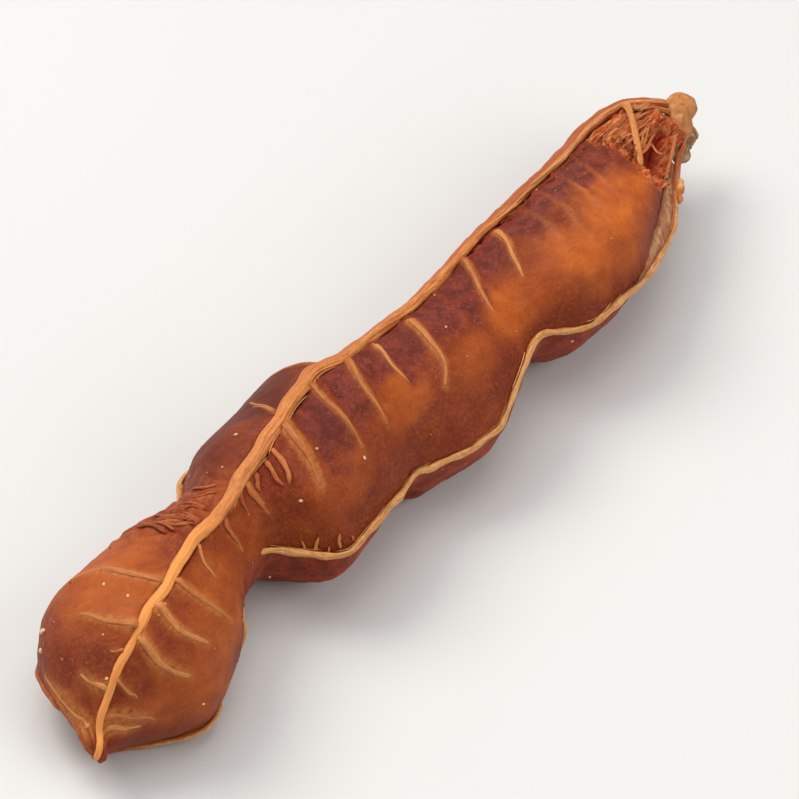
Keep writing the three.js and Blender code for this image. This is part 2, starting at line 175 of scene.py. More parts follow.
# Patches of plum, of painted shade where the flesh lies in shadow, and of a painted amber glow of
# light shining through the lobes: x, angle, half length in mm, half width in degrees, strength.
PLUM = [
    (37.2, 58, 3.0, 24, 0.6),
    (2.0, -36, 9.0, 20, 0.7),
    (26.0, -34, 9.0, 20, 0.7),
    (-52.4, -34, 2.4, 24, 0.45),
]
# Painted shade: patches darkened where the flesh lies in shadow.
PAINTED_SHADE = [
    (-18.0, -50, 9.0, 44, 1.0),
    (-16.5, 24, 3.4, 20, 0.35),
    (-30.0, -66, 6.0, 40, 0.45),
    (-55.0, 84, 2.4, 40, 0.45),
]
# Painted glow: amber where light shines through the lobes and lights their bulges.
PAINTED_GLOW = [
    (30.5, 84, 8.5, 34, 1.0),
    (22.0, 92, 6.0, 32, 0.85),
    (26.0, 112, 7.0, 18, 0.5),
    (36.5, 84, 3.2, 22, 0.6),
    (12.5, 90, 4.5, 26, 0.65),
    (-7.4, 66, 3.8, 17, 0.65),
    (2.6, 86, 4.5, 14, 0.35),
    (-21.0, 58, 4.0, 16, 0.35),
    (-31.5, 30, 4.0, 30, 0.3),
    (-39.0, 46, 5.0, 36, 0.55),
    (-45.5, 60, 5.0, 26, 0.6),
    (-44.0, -56, 6.5, 34, 0.6),
    (-48.0, 26, 6.5, 44, 0.45),
    (-47.6, -24, 7.0, 44, 0.45),
    (-26.0, 70, 4.0, 20, 0.25),
    (-31.0, -20, 4.0, 16, 0.3),
    (28.0, -82, 10.0, 30, 0.6),
    (-2.0, -70, 8.0, 24, 0.4),
]
PATCH_GRAIN = 5.0  # how coarse the ragged edges of the large patches are

# Where the furrow beside the thick strand gapes: where a gap starts, is widest from and to, and
# stops, and its width.
CREVICES = [
    (12.5, 17, 25, 31, 1.0),
    (26, 30, 38, 41, 0.45),
    (-8, -2, 6, 12, 0.4),
    (-26, -22, -14, -10, 0.25),
]
# Reliefs of the seams and of the underside, of the folds round the waist at WAIST_X, and of the
# ridges that run together on the beak.
SEAM_HEIGHT, KEEL_ROUGHNESS = 0.27, 0.09
WAIST_X, WAIST_REACH, WAIST_FOLD = -33.0, 5.0, 0.62
BEAK_RIDGES, BEAK_RIDGE_HEIGHT = 9, 0.14
# The flesh is torn open under the stalk, from the thick strand to the hollow by the near margin.
# The tear's lower edge, as (angle, x), and where the tear ends.
TORN_EDGE = [
    (0, 39.6), (24, 38.6), (44, 38.5), (54, 39.6), (74, 38.9),
    (88, 37.3), (106, 37.1), (122, 38.2), (140, 41.5),
]
TORN_TO_X, TORN_TO = 49.0, 142
TORN_DEPTH, NOTCH_DEPTH = 0.5, 0.5
HOLLOW_X, HOLLOW_ANGLE, HOLLOW_LENGTH, HOLLOW_WIDTH, HOLLOW_DEPTH = 43.4, 99, 4.8, 3.3, 1.5

# The strands: their sections' height over their width, lifts off the flesh, wanders in degrees,
# and where along x they lie on the flesh. Beyond that they leave it for their ends, each straight
# on for a knee's length. The side strand reaches round the flank by an angle, and leans along x.
STRAND_FLATNESS, STRAND_LIFT, STRAND_WANDER = 0.66, 0.4, 1.1
STRAND_FROM_X, STRAND_TO_X = -57.4, 48.0
STRAND_TIP, STRAND_END = (-58.4, -0.2, 5.5), (52.0, 2.8, 10.3)
SIDE_STRAND_X, SIDE_STRAND_REACH, SIDE_STRAND_LEAN = 47.4, 83, -8.6
MARGIN_HALF, MARGIN_FLATNESS, MARGIN_WANDER, MARGIN_SHIFT = 0.5, 0.8, 1.2, 9
MARGIN_FROM_X, MARGIN_TO_X = -55.8, 46.5
MARGIN_LIFT = 0.66
# Where the near margin strand stands off the flesh, and where it dives into the fold between the
# last two lobes: the middle, the length and the rise.
STANDOFF, DIVE = (36.5, 5.5, 1.1), (-32.6, 2.6, -1.9)
NEAR_END, FAR_END = (50.2, 0.3, 7.6), (50.5, 1.7, 6.8)
END_KNEE, TIP_KNEE = 1.3, 0.6

# The dry skin and its loose scrap, along x, and the skin's greatest width.
FILM_FROM_X, FILM_TO_X, FILM_REACH = 26.5, 43.8, 2.0
SCRAP_FROM_X, SCRAP_LENGTH, SCRAP_HALF = 39.4, 3.0, 0.66

# The stalk's lumps: each one's middle and half sizes.
LUMPS = [
    ((51.6, 1.2, 8.2), (1.9, 1.8, 2.3)),
    ((53.0, 1.7, 9.7), (2.0, 1.9, 1.5)),
    ((52.3, 0.1, 6.4), (1.35, 1.3, 2.1)),
    ((51.2, -0.3, 5.0), (0.9, 0.9, 1.2)),
]
LUMP_VOXEL, LUMP_SMOOTHINGS = 0.15, 4

# Crumbs that stand out: x, angle and size.
CRUMBS = [
    (-51.2, -95, 0.40), (-52.7, -100, 0.32), (-46.5, -39, 0.20), (-46.9, -17, 0.17),
    (-47.5, 75, 0.17), (-53.5, -7, 0.21), (-16.5, 60, 0.19), (-24.7, 45, 0.17),
    (-22.5, -62, 0.16), (-22.4, -24, 0.18), (-17.7, 5, 0.18), (-19.8, 32, 0.15),
    (-27.3, 125, 0.18), (17.0, 158, 0.24), (4.3, 51, 0.14),
]
# Single torn fibres: the path as (x, angle), the rise, the half width and the shade. The first
# WAIST_RIDGES curl beside the waist, then come whiskers at the near margin and three in the tear.
WAIST_RIDGES = 6
TORN_PATHS = [
    ([(-22.6, 3), (-23.0, 14), (-23.8, 25), (-24.5, 31)], -0.06, 0.33, 0.62),
    ([(-23.9, 3), (-24.4, 13), (-24.9, 24), (-24.9, 29)], -0.10, 0.27, 0.55),
    ([(-25.4, 3), (-25.9, 11), (-26.5, 18), (-26.6, 22)], -0.10, 0.26, 0.50),
    ([(-26.8, 3), (-27.3, 20), (-27.2, 40)], -0.02, 0.33, 0.58),
    ([(-28.1, 3), (-28.8, 17), (-29.0, 30)], -0.04, 0.30, 0.35),
    ([(-32.0, 4), (-32.7, 20), (-32.4, 42)], -0.02, 0.36, 0.48),
    ([(-26.1, 88), (-25.8, 82), (-25.9, 76)], 0.12, 0.15, 0.80),
    ([(-25.3, 89), (-25.2, 82), (-24.9, 75)], 0.14, 0.20, 0.95),
    ([(-23.8, 89), (-23.8, 84), (-23.5, 78)], 0.14, 0.18, 0.90),
    ([(-24.6, 90), (-24.5, 85)], 0.12, 0.14, 0.60),
    ([(-26.8, 84), (-26.6, 78)], 0.10, 0.12, 0.50),
    ([(-22.6, 90), (-22.5, 86)], 0.10, 0.13, 0.60),
    ([(43.3, 78), (42.6, 90), (43.3, 107)], -0.5, 0.15, 1.00),
    ([(46.8, 114), (44.0, 129), (40.2, 127)], 0.0, 0.34, 0.60),
    ([(48.4, 80), (46.8, 90), (45.6, 94)], -0.4, 0.22, 0.30),
]
# How many fibres lie in the tear, bridge it to the stalk, hang over its edge, stand along the
# furrow and fold over the waist, and how many loose ones each margin strand has.
TEAR_FIBRES, BRIDGES, EDGE_FIBRES, FURROW_FIBRES, WAIST_FOLDS = 84, 26, 22, 44, 13
MARGIN_FIBRES = 20

# The stage, in metres: the floor's size, and where the camera stands and looks, with its heading
# and its tilt down in degrees.
FLOOR_SIZE = 3
CAMERA_AT, CAMERA_TO = (-0.2678, -0.1536, 0.3525), (-0.0006, -0.0005, 0.0085)
CAMERA_HEADING, CAMERA_TILT, CAMERA_LENS = 51, 46, 196
# Each lamp's name, its place to the right, away and up, its size, power and colour.
LAMPS = [
    ("key", (-0.42, 0.30, 0.62), 0.5, 4.4, (1.0, 0.98, 0.95)),
    ("fill", (0.55, -0.25, 0.5), 0.6, 1.8, (1.0, 0.99, 0.97)),
    ("top", (0.0, 0.1, 0.9), 0.7, 2.5, (1.0, 1.0, 1.0)),
]
SKY_COLOUR, SKY_STRENGTH = (0.93, 0.94, 0.96, 1), 0.38

# Mesh counts: the flesh round its section and along it, and the points along a vein, the strands,
# the dry skin and a torn fibre.
FLESH_SIDES, FLESH_RINGS = 234, 424
VEIN_STEPS, STRAND_STEPS, MARGIN_STEPS, FILM_STEPS, FIBRE_STEPS = 26, 420, 330, 110, 16

# Seeds of the noise and of each piece's random draws, and the noise's lattice of cells.
GRAIN_SEED, OTHER_GRAIN_SEED = 11, 29
VEIN_SEED, STRAND_SEED, MARGIN_SEED, TORN_SEED, CRUMB_SEED = 5, 8, 13, 21, 34
LATTICE = 32


def monotone(knots, values, at):
    """A cubic through the values that never overshoots them."""
    span = np.diff(knots)
    slope = np.diff(values) / span
    both = slope[:-1] * slope[1:]
    mean = 2 * both / np.where(both > 0, slope[:-1] + slope[1:], 1)
    tangent = np.concatenate([slope[:1], np.where(both > 0, mean, 0), slope[-1:]])
    i = np.clip(np.searchsorted(knots, at) - 1, 0, len(knots) - 2)
    t = np.clip((at - knots[i]) / span[i], 0, 1)
    return (
        values[i] * (1 + 2 * t) * (1 - t) ** 2
        + tangent[i] * span[i] * t * (1 - t) ** 2
        + values[i + 1] * t * t * (3 - 2 * t)
        + tangent[i + 1] * span[i] * t * t * (t - 1)
    )


def along(column, x):
    return monotone(COURSE[0], COURSE[COLUMNS.index(column)], x)


def smooth_step(low, high, value):
    t = np.clip((value - low) / (high - low), 0, 1)
    return t * t * (3 - 2 * t)


def between(start, whole, fading, stop, value):
    """1 from whole to fading, and 0 before start and after stop."""
    return smooth_step(start, whole, value) * smooth_step(stop, fading, value)


def bell(distance, half):
    return np.exp(-((distance / half) ** 2))


def closing(x):
    """0 at the ends of the flesh and 1 along the rest of it."""
    beak = np.clip((x - BEAK_X) / BEAK_ROUND, 0, 1)
    stalk = np.clip((STALK_X - x) / STALK_ROUND, 0, 1)
    return np.sqrt((1 - (1 - beak) ** 2) * (1 - (1 - stalk) ** 2))


def skin(x, a):
    """The point of the smooth flesh at x and at angle a, in radians, from the thick strand."""
    turn, close = np.radians(along("turn", x)), closing(x)
    reach = np.where(np.cos(a) > 0, along("strand", x), along("keel", x))
    towards = np.cos(a) * reach * close
    aside = np.sin(a) * along("flank", x) * close * (1 - EGG * np.cos(a))
    return np.stack(
        [
            x + 0 * towards,
            along("y", x) + towards * np.cos(turn) - aside * np.sin(turn),
            along("z", x) - SINK + towards * np.sin(turn) + aside * np.cos(turn),
        ],
        axis=-1,
    )


def unit(vectors):
    return vectors / np.maximum(np.linalg.norm(vectors, axis=-1, keepdims=True), 1e-9)


def outward(x, a):
    lengthwise = skin(x + 0.2, a) - skin(x - 0.2, a)
    around = skin(x, a + 0.05) - skin(x, a - 0.05)
    return unit(np.cross(around, lengthwise))


def sway(x):
    return 0.6 * np.sin(0.55 * x) + 0.4 * np.sin(1.27 * x + 1)


def strand_angle(x):
    return np.radians(STRAND_WANDER * sway(x))


def near_angle(x):
    return np.radians(along("near", x) + MARGIN_WANDER * sway(x + MARGIN_SHIFT))


def far_angle(x):
    return -np.radians(along("far", x) + MARGIN_WANDER * sway(x - MARGIN_SHIFT))


def strand_half(x):
    return along("cord", np.clip(x, BEAK_X, STALK_X))


def strand_lift(x):
    return STRAND_LIFT * strand_half(x)


def margin_half(x):
    return MARGIN_HALF * (0.6 + 0.4 * np.clip((x - MARGIN_FROM_X) / 6, 0, 1))


def near_lift(x):
    low = MARGIN_LIFT - 0.34 * smooth_step(-44, -49, x)
    return low + sum(rise * bell(x - at, length) for at, length, rise in (STANDOFF, DIVE))


def far_lift(x):
    return MARGIN_LIFT + 0 * x


class Grain:
    """Smooth seeded noise in space, about -1 to 1."""

    def __init__(self, seed):
        self.lattice = np.random.RandomState(seed).uniform(-1, 1, (LATTICE,) * 3)

    def __call__(self, points, size):
        place = points / size
        low = np.floor(place).astype(int)
        t = place - low
        t = t * t * (3 - 2 * t)
        total = 0
        for corner in itertools.product((0, 1), repeat=3):
            share = 1
            for axis, side in enumerate(corner):
                share = share * (t[..., axis] if side else 1 - t[..., axis])
            cell = (low + corner) % LATTICE
            total = total + share * self.lattice[cell[..., 0], cell[..., 1], cell[..., 2]]
        return 1.4 * total

    def rough(self, points, size, layers=3):
        return sum(self(points + 7.3 * n, size / 2**n) / 2**n for n in range(layers))


grain = Grain(GRAIN_SEED)
other_grain = Grain(OTHER_GRAIN_SEED)
# Scales of space that draw the grain out along the pod or across it.
LENGTHWISE, CROSSWISE = np.array([0.5, 1, 1]), np.array([1, 0.4, 0.4])


def path_of(knots, steps):
    """Points (x, angle in radians) along a vein's path."""
    given_x, given_angle = np.array(knots, float).T
    t, at = np.linspace(0, 1, len(knots)), np.linspace(0, 1, steps)
    x = monotone(t, given_x, at) if len(t) > 2 else np.interp(at, t, given_x)
    return x, np.radians(np.interp(at, t, given_angle))


def girth(x):
    """About the radius of a section, so that an angle times it is a length."""
    reach = np.maximum(0.5 * (along("strand", x) + along("flank", x)), 1)
    return reach * np.maximum(closing(x), 0.2)


def path_mask(paths, x, a, half):
    """How near each place is to one of the paths, from 0 to 1."""
    found = np.zeros_like(x)
    flat = a * girth(x)
    for bold, knots in paths:
        px, pa = path_of(knots, 10)
        close = np.nonzero((x > px.min() - 3) & (x < px.max() + 3))[0]
        if not len(close):
            continue
        ends = np.stack([px, pa * girth(px)], axis=-1)
        here = np.stack([x[close], flat[close]], axis=-1)
        best = np.zeros(len(close))
        for n in range(len(ends) - 1):
            leg = ends[n + 1] - ends[n]
            t = np.clip(((here - ends[n]) @ leg) / (leg @ leg), 0, 1)
            distance = np.linalg.norm(here - ends[n] - t[:, None] * leg, axis=1)
            fade = 1 - 0.62 * (n + t) / (len(ends) - 1)
            best = np.maximum(best, bold * fade * bell(distance, half * bold))
        found[close] = np.maximum(found[close], best)
    return found


def patch_mask(patches, x, a, points, coarse=3.2):
    """Soft patches with ragged edges, from 0 to 1."""
    total = np.zeros_like(x)
    angle = np.degrees(a)
    ragged = 0.28 * grain.rough(points + 31, coarse)
    for px, pa, length, width, strength in patches:
        r = np.sqrt(((x - px) / length) ** 2 + ((angle - pa) / width) ** 2)
        total = np.maximum(total, strength * (1 - smooth_step(0.45, 1.45, r + ragged)))
    return total


def cell_mask(x, a, points):
    """Where the plum-coloured cells are, from 0 to 1."""
    angle = np.degrees(a)
    across = x + CELL_SLANT * (angle - FAN_ANGLE) + 0.3 * grain(points, 1.3)
    fading = angle + 6 * grain.rough(points + 31, 2.4)
    found = np.zeros_like(x)
    for start, stop, fade, strength in CELLS:
        inside = between(start - 0.1, start + 0.45, stop - 0.45, stop + 0.1, across)
        inside *= smooth_step(fade + 11, fade - 9, fading) * smooth_step(1, 6, angle)
        found = np.maximum(found, strength * inside)
    return found


def ray_mask(x, a, points):
    """Pale rays that run from the strand over the lobe by the stalk, from 0 to 1."""
    angle = np.degrees(a)
    across = x + CELL_SLANT * (angle - FAN_ANGLE) + 0.45 * grain(points, 2.1)
    half = 0.3 + 0.006 * np.clip(angle - FAN_ANGLE, 0, 80)
    rays = sum(share * bell(across - at, half) for at, share in RAYS)
    return between(20, 48, 62, 102, angle) * rays


def torn_mask(x, a, ragged):
    """How far inside the torn place under the stalk, from 0 to 1, and how near its edge."""
    angle = np.degrees(a)
    edge = np.interp(angle, *np.array(TORN_EDGE, float).T)
    inside = x - edge + 0.7 * ragged
    within = (
        smooth_step(-0.5, 0.6, inside)
        * smooth_step(TORN_TO_X + 0.5, TORN_TO_X - 1.5, x)
        * smooth_step(3, 8, angle)
        * smooth_step(TORN_TO, TORN_TO - 16, angle + 6 * ragged)
    )
    at_edge = bell(inside - 0.5, 0.7) * between(12, 24, 70, 84, angle)
    return within, at_edge


def furrow(x, a, points, thin):
    """The furrow that the thick strand lies in, open and ragged on the near side: its relief, how
    deep in it a place is, and where its lip is frayed."""
    depth_share = bpy.context.scene.tamarind_form.furrow_depth
    ragged = grain.rough(points * CROSSWISE, 1.4)
    beside = (a - strand_angle(x)) * girth(x)
    crevice = sum(gap * between(*ends, x) for *ends, gap in CREVICES)
    open_side = np.where(beside > 0, crevice * (0.6 + 0.85 * ragged), 0.1 * crevice)
    width = np.maximum(strand_half(x) * 0.92 + open_side, 0.3)
    trough = 1 - smooth_step(0.72, 1.06, np.abs(beside) / width)
    depth = np.minimum(depth_share * strand_half(x), 0.2 * along("strand", x))
    lip = bell(np.abs(beside) - width - 0.25, 0.6) * (1 - trough)
    relief = lip * (0.26 * strand_half(x) + 0.10 * ragged) * thin
    return relief - trough * depth * (1 + 0.8 * crevice), trough, lip * crevice


def margins(x, a):
    """The seams under the thin strands, and which places lie beyond them, from 0 to 1."""
    size = girth(x)
    seam = np.zeros_like(x)
    for margin in (near_angle(x), far_angle(x)):
        gap = (np.mod(a - margin + np.pi, 2 * np.pi) - np.pi) * size
        seam = np.maximum(seam, bell(gap, 0.7) + 0.3 * bell(gap, 1.8))
    beyond = [(a - near_angle(x)) * size, (far_angle(x) - a) * size]
    keel = np.maximum(*(smooth_step(0.2, 1.2, distance) for distance in beyond))
    return np.minimum(seam, 1), keel


def flesh_form(x, a):
    """The flesh's relief in mm above the smooth skin, and the masks that its finish reads."""
    form = bpy.context.scene.tamarind_form
    points, size, angle = skin(x, a), girth(x), np.degrees(a)
    veins = path_mask(VEINS, x, a, VEIN_HALF)
    swell = path_mask(VEINS, x, a, SWELL_HALF)
    curled = path_mask([(1, path) for path, *_ in TORN_PATHS[:WAIST_RIDGES]], x, a, CURL_HALF)
    ribs = path_mask([(1, path) for path in RIBS], x, a, RIB_HALF)
    rays = ray_mask(x, a, points)
    cells = cell_mask(x, a, points)
    thin = between(BEAK_X, BEAK_X + 5, STALK_X - 4, STALK_X, x)

    lumps = 0.28 * grain(points, 8.5) + 0.12 * other_grain(points, 3.6)
    pores = 0.045 * grain(points, 1.5) + 0.024 * other_grain(points, 0.75)
    raised = veins + 0.42 * swell + 0.2 * ribs + 0.06 * rays
    relief = form.lumpiness * thin * lumps + thin * pores
    relief += form.vein_height * raised * np.maximum(thin, 0.3)
    relief -= 0.2 * cells * (1 - swell) + 0.28 * curled

    sunk, trough, frayed = furrow(x, a, points, thin)
    seam, keel = margins(x, a)
    relief += sunk + SEAM_HEIGHT * seam * closing(x)
    relief += keel * KEEL_ROUGHNESS * grain.rough(points * LENGTHWISE, 1.6) * thin

    # Folds over the far side of the waist by the beak's lobe, and ridges that run together on
    # the beak.
    waist = bell(x - WAIST_X, WAIST_REACH) * between(-120, -90, -16, -4, angle)
    fold = np.abs(np.sin(1.75 * x + 1.8 * grain(points, 3.0) + 0.5 * a))
    relief += waist * (WAIST_FOLD * fold**1.5 - 0.3)
    beak = 1 - smooth_step(BEAK_X + 0.5, BEAK_X + 4.5, x)
    ridges = np.cos(BEAK_RIDGES * a + 1.5 * grain(points, 2))
    relief += beak * BEAK_RIDGE_HEIGHT * ridges * closing(x)

    # The torn place under the stalk, with fibres along the strand, a hollow by the margin, notches
    # in its lower edge and a raised rim.
    ragged = grain.rough(points * CROSSWISE, 1.4)
    torn, torn_edge = torn_mask(x, a, ragged)
    fibrous = np.abs(grain.rough(points * np.array([0.22, 1, 1]), 0.8, 2))
    off_along = (x - HOLLOW_X) / HOLLOW_LENGTH
    off_around = (angle - HOLLOW_ANGLE) * size / RADIAN / HOLLOW_WIDTH
    hollow = 1 - smooth_step(0.55, 1.15, np.hypot(off_along, off_around) + 0.15 * ragged)
    notch = torn_edge * smooth_step(0.05, 0.35, other_grain(points * LENGTHWISE, 0.9)) * torn
    relief -= torn * (TORN_DEPTH * np.minimum(size / 5, 1) - 0.5 * fibrous * (1 - 0.7 * hollow))
    relief -= HOLLOW_DEPTH * hollow * torn + NOTCH_DEPTH * notch
    relief += 1.2 * torn * (1 - torn) * (0.4 + fibrous)

    plum = np.maximum(cells, patch_mask(PLUM, x, a, points)) * (1 - 0.6 * swell) * (1 - torn)
    dark_beak = beak * smooth_step(14, 30, angle) * (1 - veins)
    # Painted shade, a deep red, in the hollow, the notches, the furrow and its gaps, between the
    # waist folds and in the dents round the waist ridges, and darker over the beak's end away from
    # the strand.
    deep = torn * hollow * 1.3 + notch + trough + 0.6 * frayed
    deep = deep + 0.5 * waist * (1 - fold) + 0.6 * curled + 0.5 * dark_beak
    masks = {
        "vein": veins + 0.3 * ribs + 0.25 * beak * (0.5 + fold),
        "swell": swell,
        "plum": plum,
        # The painted glow of light shining through the lobes.
        "glow": patch_mask(PAINTED_GLOW, x, a, points, PATCH_GRAIN) * (1 - 0.8 * cells),
        "ray": rays * (1 - torn),
        "keel": keel,
        # Painted shade where the flesh lies in shadow.
        "dusk": patch_mask(PAINTED_SHADE, x, a, points, PATCH_GRAIN),
        # The torn place's own colours, and on the crests of the waist folds a painted highlight.
        "torn": torn + 0.5 * waist * fold,
        # Painted shade in the recesses.
        "deep": deep,
    }
    return relief, {name: np.clip(mask, 0, 1) for name, mask in masks.items()}


def laid(x, a, rise=0.0):
    """A point on the finished flesh, lifted off it by rise."""
    relief, _ = flesh_form(x, a)
    point = skin(x, a) + outward(x, a) * np.expand_dims(relief * closing(x) + rise, -1)
    point[..., 2] = np.maximum(point[..., 2], 0)
    return point


# ---- Shapes ---------------------------------------------------------------------------------


def mesh_of(name, shape):
    """A mesh made of the bmesh shape, which is used up."""
    mesh = bpy.data.meshes.new(name)
    shape.to_mesh(mesh)
    shape.free()
    return mesh


def object_of(name, data):
    made = bpy.data.objects.new(name, data)
    bpy.context.scene.collection.objects.link(made)
    return made


class Heap:
    """Closed shapes gathered into one piece, with the marks that its finish reads."""

    # How fast a cord's streaks change along it, how far a shade moves them, and the least height
    # over what the pod lies on.
    STREAK_RATE, STREAK_SHIFT, LEAST_HEIGHT = 0.16, 3.7, 0.05

    def __init__(self):
        self.mesh = bmesh.new()
        self.marks = {}
        self.count = 0

    def add(self, shape, places, **marks):
        """Moves a shape's vertices to their places and takes the shape in. A mark that a shape
        isn't given is 0 on it."""
        loose = mesh_of("loose", shape)
        loose.vertices.foreach_set("co", np.asarray(places, np.float32).ravel())
        self.mesh.from_mesh(loose)
        bpy.data.meshes.remove(loose)
        for name, values in marks.items():
            self.marks.setdefault(name, []).append((self.count, np.asarray(values, float)))
        self.count += len(places)

    def cord(self, route, out, half, flatness, sides, groove=None, shade=0.5, blunt=2, **more):
        """A closed cord along route, whose upper side faces out. groove(run, turn) swells it,
        its ends close over blunt rings, and more holds marks as functions of x and turn."""
        rings = len(route) - 1
        shape, on_ball = ball(sides, rings)
        ring = np.rint(np.arccos(np.clip(on_ball[:, 2], -1, 1)) / np.pi * rings).astype(int)
        turn = np.arctan2(on_ball[:, 1], on_ball[:, 0])
        forward = unit(np.gradient(route, axis=0))
        across = unit(np.cross(forward, out))
        upward = np.cross(across, forward)
        run = np.concatenate([[0], np.cumsum(np.linalg.norm(np.diff(route, axis=0), axis=1))])
        end = np.minimum(np.arange(rings + 1), rings - np.arange(rings + 1)) / blunt
        half = half * np.sqrt(1 - (1 - np.minimum(end, 1)) ** 2)
        radius = np.ones(len(turn)) if groove is None else groove(run[ring], turn)
        side = (np.cos(turn) * radius * half[ring])[:, None] * across[ring]
        rise = (np.sin(turn) * radius * half[ring] * flatness)[:, None] * upward[ring]
        pole = np.isin(ring, (0, rings))
        lay = round_cord(turn, self.STREAK_RATE * run[ring])
        lay[pole, :2] = 0
        places = route[ring] + side + rise
        places[:, 2] = np.maximum(places[:, 2], self.LEAST_HEIGHT)
        marks = {name: field(route[ring, 0], turn) for name, field in more.items()}
        lay += self.STREAK_SHIFT * shade
        self.add(shape, places, lay=lay, shade=np.full(len(turn), shade), **marks)

    def fibre(self, x, a, rise, half, shade, flatness=0.9, sides=6, blunt=2, lowest=-np.inf):
        """A cord that follows x and the angle a, lifted off the smooth flesh by rise."""
        out = outward(x, a)
        route = skin(x, a) + out * np.expand_dims(rise, -1)
        route[:, 2] = np.maximum(route[:, 2], lowest)
        self.cord(route, out, half, flatness, sides, None, shade, blunt)

    def piece(self, name, finish, nodes=(), smooth=True):
        """Makes the object: faces outwards, placed in its mesh, riding on the pod."""
        if not self.mesh.faces:
            raise RuntimeError(f"{name} has no faces")
        bmesh.ops.recalc_face_normals(self.mesh, faces=self.mesh.faces)
        mesh = mesh_of(name, self.mesh)
        places = np.zeros(len(mesh.vertices) * 3, np.float32)
        mesh.vertices.foreach_get("co", places)
        mesh.vertices.foreach_set("co", ((places.reshape(-1, 3) + SHIFT) * MM).ravel())
        mesh.polygons.foreach_set("use_smooth", [smooth] * len(mesh.polygons))
        for mark, parts in self.marks.items():
            values = np.zeros((self.count, *parts[0][1].shape[1:]))
            for start, part in parts:
                values[start : start + len(part)] = part
            kind = "FLOAT_VECTOR" if values.ndim == 2 else "FLOAT"
            field = mesh.attributes.new(mark, kind, "POINT")
            field.data.foreach_set("vector" if values.ndim == 2 else "value", values.ravel())
        mesh.materials.append(finish)
        made = object_of(name, mesh)
        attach(made, "root")
        if nodes:
            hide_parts(*nodes)


def vertices_of(shape):
    return np.array([v.co for v in shape.verts], float)


def ball(sides, rings):
    """A unit ball with its poles on Z, and where its vertices are."""
    shape = bmesh.new()
    bmesh.ops.create_uvsphere(shape, u_segments=sides, v_segments=rings, radius=1)
    return shape, vertices_of(shape)


def bend(before, last, knee, end, steps):
    """Points that leave last straight on, away from before, and reach end."""
    t = np.linspace(0, 1, steps + 1)[1:, None]
    turn = last + unit(last - before) * knee
    return (1 - t) ** 2 * last + 2 * t * (1 - t) * turn + t**2 * np.array(end)


def skin_route(x, angle_at, lift_at, end, tip=None):
    """A strand's middle and outward direction along x, then off the flesh to its end, and over
    the beak to its tip where it has one."""
    a = angle_at(x)
    out = outward(x, a)
    on_flesh = skin(x, a) + out * lift_at(x)[:, None]
    off = bend(on_flesh[-4], on_flesh[-1], END_KNEE, end, 15)
    route = np.concatenate([on_flesh, off])
    out = np.concatenate([out, np.repeat(out[-1:], len(off), axis=0)])
    if tip is not None:
        over = bend(on_flesh[4], on_flesh[0], TIP_KNEE, tip, 9)[::-1]
        route = np.concatenate([over, route])
        out = np.concatenate([np.repeat(out[:1], len(over), axis=0), out])
    return route, out


def round_cord(turn, run, radius=1.0):
    """Places on a cord in space, so that grain runs round it without a seam."""
    return np.stack([radius * np.cos(turn), radius * np.sin(turn), run], axis=-1)


def wandering(route, reach, shifts, sizes):
    """The route with uneven bends sideways and up."""
    bends = [grain(route + shift, size) for shift, size in zip(shifts, sizes)]
    return route + reach * np.stack([0 * bends[0], *bends], axis=-1)


# ---- Finishes -------------------------------------------------------------------------------


def tint(red, green, blue):
    """A screen colour of 0 to 255 as the linear colour that shaders use."""
    share = np.array([red, green, blue]) / 255
    linear = np.where(share <= 0.04045, share / 12.92, ((share + 0.055) / 1.055) ** 2.4)
    return tuple(float(v) for v in linear)


class Wire:
    """A shader value. Arithmetic on it adds Math nodes."""

    def __init__(self, finish, socket):
        self.finish = finish
        self.socket = socket

    def math(self, operation, *values):
        settings, inputs = {"operation": operation}, dict(enumerate(values))
        return self.finish.node("ShaderNodeMath", settings, inputs)

    def __add__(self, other):
        return self.math("ADD", self, other)

    def __sub__(self, other):
        return self.math("SUBTRACT", self, other)

    def __rsub__(self, other):
        return self.math("SUBTRACT", other, self)

    def __mul__(self, other):
        return self.math("MULTIPLY", self, other)

    __radd__ = __add__
    __rmul__ = __mul__

    def clamp(self):
        return self.finish.node("ShaderNodeClamp", {}, {"Value": self})


